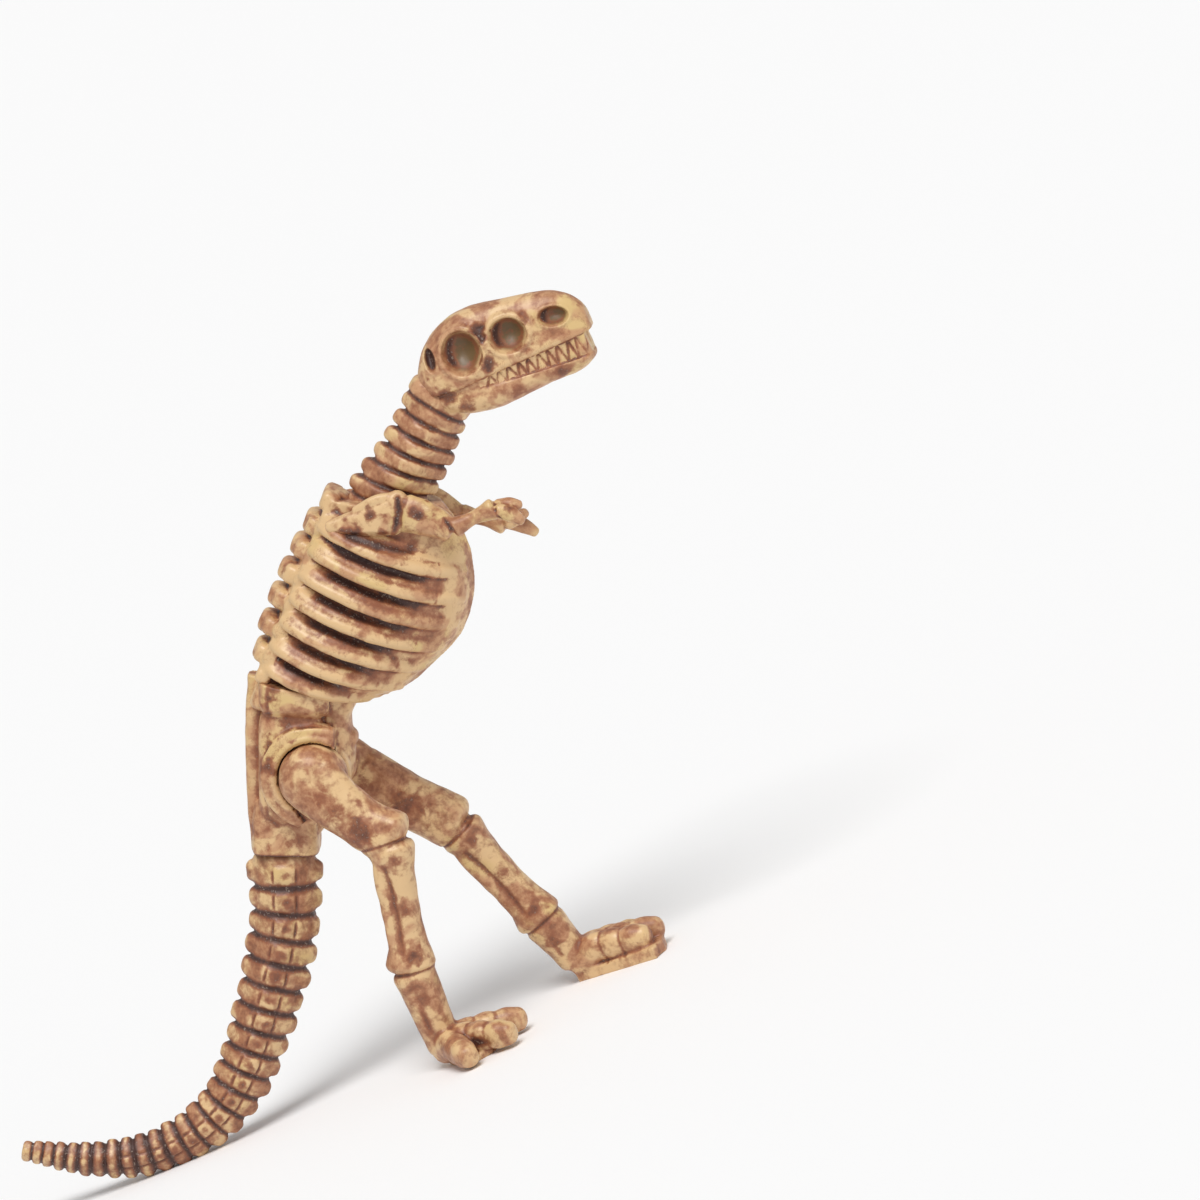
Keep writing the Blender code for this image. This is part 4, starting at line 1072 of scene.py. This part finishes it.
def buildArm(name):
    arm = armValues[name]
    side = arm["side"]
    joints = {key: np.array(arm[key]) for key in ("shoulder", "elbow", "wrist")}
    joints["body"] = np.zeros(2)
    joints["upper"] = (joints["shoulder"] + joints["elbow"]) / 2
    joints["lower"] = (joints["elbow"] + joints["wrist"]) / 2

    def at(joint, dx, dz, out=10.0):
        return spot(joints[joint][0] + dx, joints[joint][1] + dz, side * out)

    store = emptyStore()
    addLimb(store, [(*at("body", 24.8, 109.8, 8.8), 1.2, 1.3), (*at("body", 31.5, 108.2, 9.0), 1.9, 2.9),
                    (*at("shoulder", -1.6, 0.3, 9.2), 2.1, 4.0)])  # shoulder blade
    addLump(store, at("shoulder", 0.4, 1.0, 9.0), ((1, 0, 0), sideways, (0, 0, 1)), (2.6, 2.1, 3.7))
    addLimb(store, [(*at("body", 31.0, 110.9, 9.2), 0.9, 0.9), (*at("body", 36.0, 111.2, 9.6), 1.0, 1.1),
                    (*at("shoulder", 0.2, 3.4, 9.2), 1.0, 1.2)])  # its raised edge
    addLimb(store, [(*at("shoulder", 1.4, -0.5, 9.2), 2.3, 3.9), (*at("upper", 0.6, 0.4, 9.8), 2.4, 3.5),
                    (*at("elbow", 0.0, 0.0), 2.2, 2.5)], cap=0.35)
    addLimb(store, [(*at("elbow", 1.3, -0.1), 2.1, 2.1), (*at("lower", 0.2, 0.0), 1.45, 1.35),
                    (*at("wrist", -0.6, -0.1), 2.0, 2.2)], cap=0.4)
    for i, (fx, fz) in enumerate(arm["fingers"]):
        out = 10.0 + (1.0 if i else -0.9)
        wx, wz = joints["wrist"]
        joints["tip"], joints["finger"] = (fx, fz), ((wx + fx) / 2, (wz + fz) / 2)
        addLimb(store, [(*at("wrist", 0.6, -0.2 - i * 0.5, out), 1.5, 1.5),
                        (*at("finger", 0.6, -0.1, out), 1.45, 1.55), (*at("tip", 0.0, 0.0, out), 0.95, 1.0)])
    carver = startCarving(fuse("armMoulding_" + name, store, armValues["voxel"]))
    carver.groove([at("shoulder", 1.4, 3.5, 10.9), at("shoulder", 0.6, 1.0, 11.3),
                   at("shoulder", -1.2, -1.8, 11.3), at("shoulder", -3.0, -4.2, 10.9)], 0.75, 0.6, 1.0)
    carver.ridge([at("body", 25.5, 109.3, 10.0), at("body", 31.0, 106.6, 10.9),
                  at("shoulder", -2.5, -2.2, 11.2)], 0.7, 0.35)
    carver.groove([at("elbow", 0.5, 2.6, 12.0), at("elbow", 0.8, -2.4, 12.0)], 0.5, 0.4, 0.9)
    carver.groove([at("wrist", 0.1, 2.4, 12.0), at("wrist", 0.3, -2.4, 12.0)], 0.35, 0.45, 0.95)
    for joint, dx, dz, out, radius, dark in armValues["dabs"]:
        carver.dab(at(joint, dx, dz, out), radius, dark)
    carver.uneven(2.2, 0.12)
    dress(carver, vinylLight, "trunk", ("arm_" + name,), 0.10, 0.6)


# Pelvis
pelvisValues = {
    "angle": 65.5, "headRadius": 7.0, "gap": 0.12, "socketFloor": 6.0, "collarFront": 4.2, "voxel": 0.3,
    "tailEnd": ((-20.6, 54.3), (0.415, 0, 0.91)),
    # limbs: forward of and above the hip, half across, half deep
    "crest": [(-11.9, 23.8, 2.5, 1.7), (-12.6, 8.0, 2.6, 1.9), (-12.2, -8.0, 2.6, 1.9), (-11.6, -18.5, 2.6, 1.6)],
    "blade": [(4.0, 20.5, 5.4, 5.4), (3.4, 13.0, 4.8, 3.6), (3.6, 7.0, 4.6, 3.4), (4.0, 2.4, 4.6, 3.4)],
    "lower": [(-2.0, -4.0, 5.0, 4.6), (-1.8, -12.0, 4.0, 3.2)],
    "front": [(4.4, 0, 61.5, 3.8, 2.6), (6.8, 0, 67.5, 3.9, 2.8), (8.0, 0, 72.5, 4.2, 2.8), (12.5, 0, 77.0, 4.6, 3.2)],
    "blocks": [  # lowest and highest corner: across, forward, up
        ((-8.6, -11.4, 11.5), (8.6, 3.6, 23.2)), ((-7.6, -11.6, -11.0), (7.6, 2.0, 14.0)),
        ((-5.6, -13.0, -25.0), (5.6, 0.4, -5.0))],
    "dabs": [  # forward, up, radius, dark
        (-8.2, 18.0, 2.6, 0.6), (-3.0, 20.5, 3.4, 0.55), (-9.4, 2.0, 3.0, 0.75), (-5.0, 10.2, 3.2, 0.6),
        (1.5, 14.0, 3.0, 0.5), (-8.8, -9.0, 3.4, 0.55), (-3.5, -14.0, 3.6, 0.45), (5.8, 8.0, 3.4, 0.55),
        (-9.4, 12.5, 1.9, 1.0)],
    "swing": 20, "thighHalf": 6.9, "thighInner": 7.7,
}


def pelvisPlace(forward, up, y=0.0):
    return spot(0, hipHeight, y) + heading(pelvisValues["angle"] - 90) * forward + heading(pelvisValues["angle"]) * up


def addBlock(store, low, high, axes, origin, power=5.0):
    low, high = np.array(low, float), np.array(high, float)
    centre = origin + sum(a * m for a, m in zip(axes, (low + high) / 2))
    addLump(store, centre, axes, (high - low) / 2, power, rows=20, sides=36)


pelvisGrooves = [  # the frame they are given in, points with the distance from the middle, width, depth
    (pelvisPlace, [(-9.2, 22.0, 8.4), (-9.4, 8.0, 7.8), (-9.6, -10.0, 6.4), (-9.4, -19.0, 5.6)], 0.5, 0.4),
    (pelvisPlace, [(-7.0, 11.6, 8.2), (-2.0, 10.6, 8.2), (3.0, 11.6, 8.0)], 1.0, 0.6),
    (spot, [(9.5, 75.5, 3.4), (7.2, 71.0, 3.8), (5.8, 65.0, 3.8)], 0.5, 0.3),
    (pelvisPlace, [(3.2, 21.0, 6.5), (3.4, 14.0, 5.6), (3.4, 8.0, 5.6)], 0.6, 0.6),
]


def addDisc(store, centre, radius, low, high, sides=64):
    rings = []
    for y, r in ((low, radius - 0.5), (low + np.sign(high - low) * 0.4, radius),
                 (high - np.sign(high - low) * 0.5, radius), (high, radius - 0.6)):
        a = 2 * np.pi * np.arange(sides) / sides
        rings.append(np.stack([centre[0] + np.cos(a) * r, np.full(sides, y), centre[2] + np.sin(a) * r], 1))
    addLoft(store, rings)


def buildPelvis():
    v = pelvisValues
    store = emptyStore()
    up, front = heading(v["angle"]), heading(v["angle"] - 90)
    origin = spot(0, hipHeight)
    axes = (sideways, front, up)  # across, forward, up
    limbs = {}
    for key in ("crest", "blade", "lower"):
        limbs[key] = [(*pelvisPlace(a, b), wide, deep) for a, b, wide, deep in v[key]]
    addLimb(store, limbs["crest"], cap=0.5, power=3.5)
    for low, high in v["blocks"]:
        addBlock(store, low, high, axes, origin)
    addLimb(store, limbs["blade"])
    addLimb(store, v["front"])
    addLump(store, (8.6, 0, 67.4), axes, (2.6, 1.8, 1.7))
    addLimb(store, limbs["lower"])
    addDisc(store, origin, 7.2, -5.6, 5.6)
    for side in (-1, 1):  # the broad collar round each thigh head, open in front and below
        disc = emptyStore()
        addDisc(disc, origin, 10.8, side * 5.0, side * 9.0)
        cutLoft(store, np.split(disc["verts"][0], 4), [
            (origin + front * v["collarFront"], front), (origin + heading(-75) * 6.0, heading(-75))])
        rim = np.array([(8.15 * math.cos(a), side * 8.9, hipHeight + 8.15 * math.sin(a), 0.7)
                        for a in np.radians(np.linspace(42, 222, 40))])
        sweep(store, [rim], 12)
    obj = fuse("pelvisMoulding", store, v["voxel"])
    waist = trunkValues["waist"]
    cutPlane(obj.data, spot(*waist[0]) - unit(waist[1]) * 0.1, unit(waist[1]))
    cutPlane(obj.data, spot(*v["tailEnd"][0]), -unit(v["tailEnd"][1]))
    reskin(obj, v["voxel"])
    carver = startCarving(obj)
    for side in (-1, 1):
        for place, rows, width, depth in pelvisGrooves:
            carver.groove([place(a, b, side * y) for a, b, y in rows], width, depth, 0.55, fade=0.15)
        carver.dab(pelvisPlace(-9.3, 7.0, side * 8.0), 1.5, 0.95, 0.2)
        carver.dab(pelvisPlace(-9.0, 16.0, side * 8.4), 1.3, 0.8, 0.2)
    carver.crease(spot(*v["tailEnd"][0]), unit(v["tailEnd"][1]), 16.0, 0.45, 0.1, 0.9)
    for side in (-1, 1):
        for forward, above, radius, dark in v["dabs"]:
            carver.dab(pelvisPlace(forward, above, side * (7.8 if above > -5 else 5.6)), radius, dark)
    carver.uneven(2.8, 0.14)
    p = carver.p
    reach = np.hypot(p[:, 0], p[:, 2] - hipHeight)
    for side in (-1, 1):  # clear of the thigh head
        inside = (reach < v["headRadius"] + v["gap"] + 0.2) & (p[:, 1] * side > v["socketFloor"] - 0.1)
        p[inside, 1] = side * (v["socketFloor"] - 0.1)
        knee = np.array(legValues["left" if side > 0 else "right"]["knee"]) - hip
        rest = math.degrees(math.atan2(knee[2], knee[0]))
        for turn in np.linspace(rest - v["swing"], rest + v["swing"], 9):  # and of the swinging thigh
            way = heading(turn)
            along = (p - hip) @ way
            off = np.abs(p[:, 0] * way[2] - (p[:, 2] - hipHeight) * way[0])
            swept = (along > 0) & (off < v["thighHalf"]) & (reach > v["headRadius"])
            swept &= p[:, 1] * side > v["thighInner"]
            p[swept, 1] = side * v["thighInner"]
    dress(carver, vinylLight, "trunk", ("pelvis",), 0.12, 0.8)


# Legs
legValues = {
    "voxel": 0.28,
    "right": {"side": -1, "knee": (9.7, -14.0, 47.1), "ankle": (2.6, -13.0, 21.4), "heel": (2.0, -12.0, 4.4),
              "toes": [(8.0, -24.3, 2.6), (17.0, -19.6, 2.9), (18.2, -9.6, 2.8)],
              "web": [(0.8, -11.0), (5.4, -20.5), (11.6, -17.2), (12.4, -10.3)], "webHigh": 1.3},
    "left": {"side": 1, "knee": (18.0, 13.0, 38.7), "ankle": (25.3, 14.0, 14.6), "heel": (28.3, 14.5, 4.8),
             "toes": [(41.8, 21.5, 3.2), (46.6, 14.8, 3.8), (44.6, 9.2, 4.3)],
             "web": [(26.6, 13.0), (41.0, 21.8), (44.4, 19.6), (46.4, 14.6), (46.8, 9.4), (45.0, 5.4)],
             "webHigh": 2.5},
    "thighOut": 11.4, "thighBow": -0.7,
    # bones: share of the length, distance ahead and along, half across, half deep
    "thigh": [(0.0, 0.0, 0.0, 3.3, 6.5), (0.28, 0.6, 0.0, 3.7, 5.8), (0.6, 1.0, 0.0, 4.1, 4.8),
              (0.95, 0.0, 0.0, 4.5, 5.0)],
    "shin": [(0.0, 0.0, 1.3, 4.4, 4.9), (0.28, 0.4, 0.0, 3.7, 3.5), (0.68, 0.4, 0.0, 3.5, 3.4),
             (1.0, 0.0, -1.2, 4.4, 5.1)],
    "kneeFront": [(0.25, 2.4, 0.0, 3.3, 3.4), (0.6, 2.2, 0.0, 3.7, 3.3), (1.0, 1.7, -2.6, 4.2, 3.6)],
    "foot": [(0.0, 0.0, 1.0, 4.2, 4.4), (0.6, 0.0, 0.0, 3.7, 3.8), (1.0, 0.0, 0.0, 3.4, 3.6)],
    "dome": [(6.3, 6.5), (6.7, 6.9), (9.6, 6.92), (11.6, 6.5), (13.1, 5.4), (14.0, 3.9), (14.5, 2.0)],
    "domeSides": 56,
    "splint": [(0.10, 2.6, 1.3), (0.3, 2.7, 1.5), (0.6, 2.2, 1.5), (0.9, 2.4, 1.4)],  # share, back, radius
    "toe": [  # share of the length, half across, half deep, rise
        (0.0, 3.2, 3.2, -0.6), (0.30, 2.8, 3.1, 0.7), (0.43, 2.65, 2.9, 0.6), (0.56, 2.8, 3.1, 0.5),
        (0.69, 2.55, 2.75, 0.3), (0.82, 2.6, 2.9, 0.2), (0.95, 2.2, 2.4, 0.0)],
    # wash: share of the bone, distance out, radius, dark
    "thighDabs": [(0.72, 4.3, 5.0, 0.7), (0.42, 3.9, 3.6, 0.45), (0.2, 3.6, 3.4, 0.4)],
    "shinDabs": [(0.12, 4.0, 2.4, 0.45), (0.5, 3.4, 2.2, 0.4), (0.86, 4.0, 2.8, 0.6)],
    # grooves: share of the bone and distance back
    "shinGroove": [(0.10, 1.6), (0.35, 1.0), (0.6, 0.7), (0.9, 0.9)],
    "footGroove": [(0.1, 0.6), (0.5, 0.8), (0.85, 1.2)],
    "crevice": [(0.35, 5.2), (0.6, 4.2), (0.95, 2.4)],  # share from the heel, height
}


def between(a, b, t):
    return a * (1 - t) + b * t


def buildLeg(name):
    v, leg = legValues, legValues[name]
    side = leg["side"]
    knee, ankle, heel = (np.array(leg[k]) for k in ("knee", "ankle", "heel"))
    top = hip + sideways * side * v["thighOut"]
    down, fore = unit(ankle - knee), unit(heel - ankle)
    ahead = np.cross(down, sideways)
    bow = np.cross(unit(knee - hip), sideways) * v["thighBow"]
    store = emptyStore()

    def addBone(key, start, end, off, way, cap=0.45):
        addLimb(store, [(*(between(start, end, t) + way * along + off * out), wide, deep)
                        for t, out, along, wide, deep in v[key]], cap=cap)

    turn = 2 * np.pi * np.arange(v["domeSides"]) / v["domeSides"]
    addLoft(store, [np.stack([np.cos(turn) * r, np.full(len(turn), side * y), hipHeight + np.sin(turn) * r], 1)
                    for y, r in v["dome"]])
    addBone("thigh", top, knee, bow, down)
    addBone("shin", knee, ankle, ahead, down)
    addBone("kneeFront", top, knee, ahead, down, 0.6)
    for s in (-1, 1):  # the splint bone along the back of the shin
        addLimb(store, [(*(between(knee, ankle, t) - ahead * b + sideways * s * 1.7), r, r)
                        for t, b, r in v["splint"]])
    addBone("foot", ankle, heel, ahead, fore)
    for tip in leg["toes"]:
        tip = np.array(tip)
        way = tip - heel
        across = unit(np.cross(way, (0, 0, 1.0)))
        addLimb(store, [(*(heel + way * t + np.array([0, 0, rise])), wide, deep)
                        for t, wide, deep, rise in v["toe"]], across, steps=4)
    low = np.array([(x, y, -1.0) for x, y in leg["web"]])
    high = np.array([(x, y, leg["webHigh"] * (0.8 if i == 0 else 1.0)) for i, (x, y) in enumerate(leg["web"])])
    addLoft(store, [low, high])
    obj = fuse("legMoulding_" + name, store, v["voxel"])
    cutPlane(obj.data, (0, 0, 0), (0, 0, -1))
    reskin(obj, v["voxel"])
    carver = startCarving(obj)
    kneeBend = unit(knee - hip) * 0.4 - unit(knee - ankle)
    ankleBend = unit(ankle - knee) - unit(ankle - heel)
    for joint, bend in ((knee, kneeBend), (ankle, ankleBend)):
        carver.crease(joint, unit(bend), 8.0, 0.35, 0.15, 0.6)
    for s in (-1, 1):  # the groove that parts the splint bone from the shin, and one on the foot bone
        line = [between(knee, ankle, t) - ahead * b + sideways * s * 3.4 for t, b in v["shinGroove"]]
        carver.groove(line, 0.7, 0.45, 0.55, fade=0.1)
        line = [between(ankle, heel, t) - ahead * b + sideways * s * 3.6 for t, b in v["footGroove"]]
        carver.groove(line, 0.6, 0.3, 0.45, fade=0.15)
    for tip in leg["toes"][1:]:
        way = np.array(tip) - heel
        for t in (0.43, 0.69):
            carver.crease(heel + way * t, unit(way), 3.6, 0.45, 0.1, 0.4)
    for t, out, radius, dark in v["thighDabs"]:
        carver.dab(between(top, knee, t) + sideways * side * out - ahead * 1.5, radius, dark)
        carver.dab(between(top, knee, t - 0.1) - sideways * side * out, radius, dark)
    for t, out, radius, dark in v["shinDabs"]:
        for s in (-1, 1):
            carver.dab(between(knee, ankle, t) + sideways * s * out + ahead * 1.4, radius, dark)
    for s in (-1, 1):
        carver.dab(between(ankle, heel, 0.35) + sideways * s * 3.8, 3.4, 0.5)
    flat, outer, middle = np.array((1, 1, 0)), np.array(leg["toes"][0]), np.array(leg["toes"][1])
    crevice = [between(outer, middle, 0.5) * flat * t + heel * flat * (1 - t) + (0, 0, z)
               for t, z in v["crevice"]]
    carver.groove(crevice, 1.3, 0.25, 1.0, fade=0.15)
    shin = [between(knee, ankle, t) + sideways * side * 3.2 for t in (0.0, 0.3, 0.6, 1.0)]
    carver.ridge(shin, 3.4, 0.0, bare=0.35, fade=0.1)
    carver.uneven(3.0, 0.16)
    carver.p[carver.p[:, 2] < 0.05, 2] = 0.0
    dress(carver, vinylMiddle, "leg_" + name, ("thigh_" + name, "shin_" + name, "foot_" + name), 0.12, 0.7)


buildHead()
buildNeck()
buildTrunk()
for armName in ("right", "left"):
    buildArm(armName)
buildPelvis()
buildTail()
for legName in ("right", "left"):
    buildLeg(legName)
for helper in (vertebraPiece, knobPiece, toothPiece):
    bpy.data.objects.remove(helper, do_unlink=True)
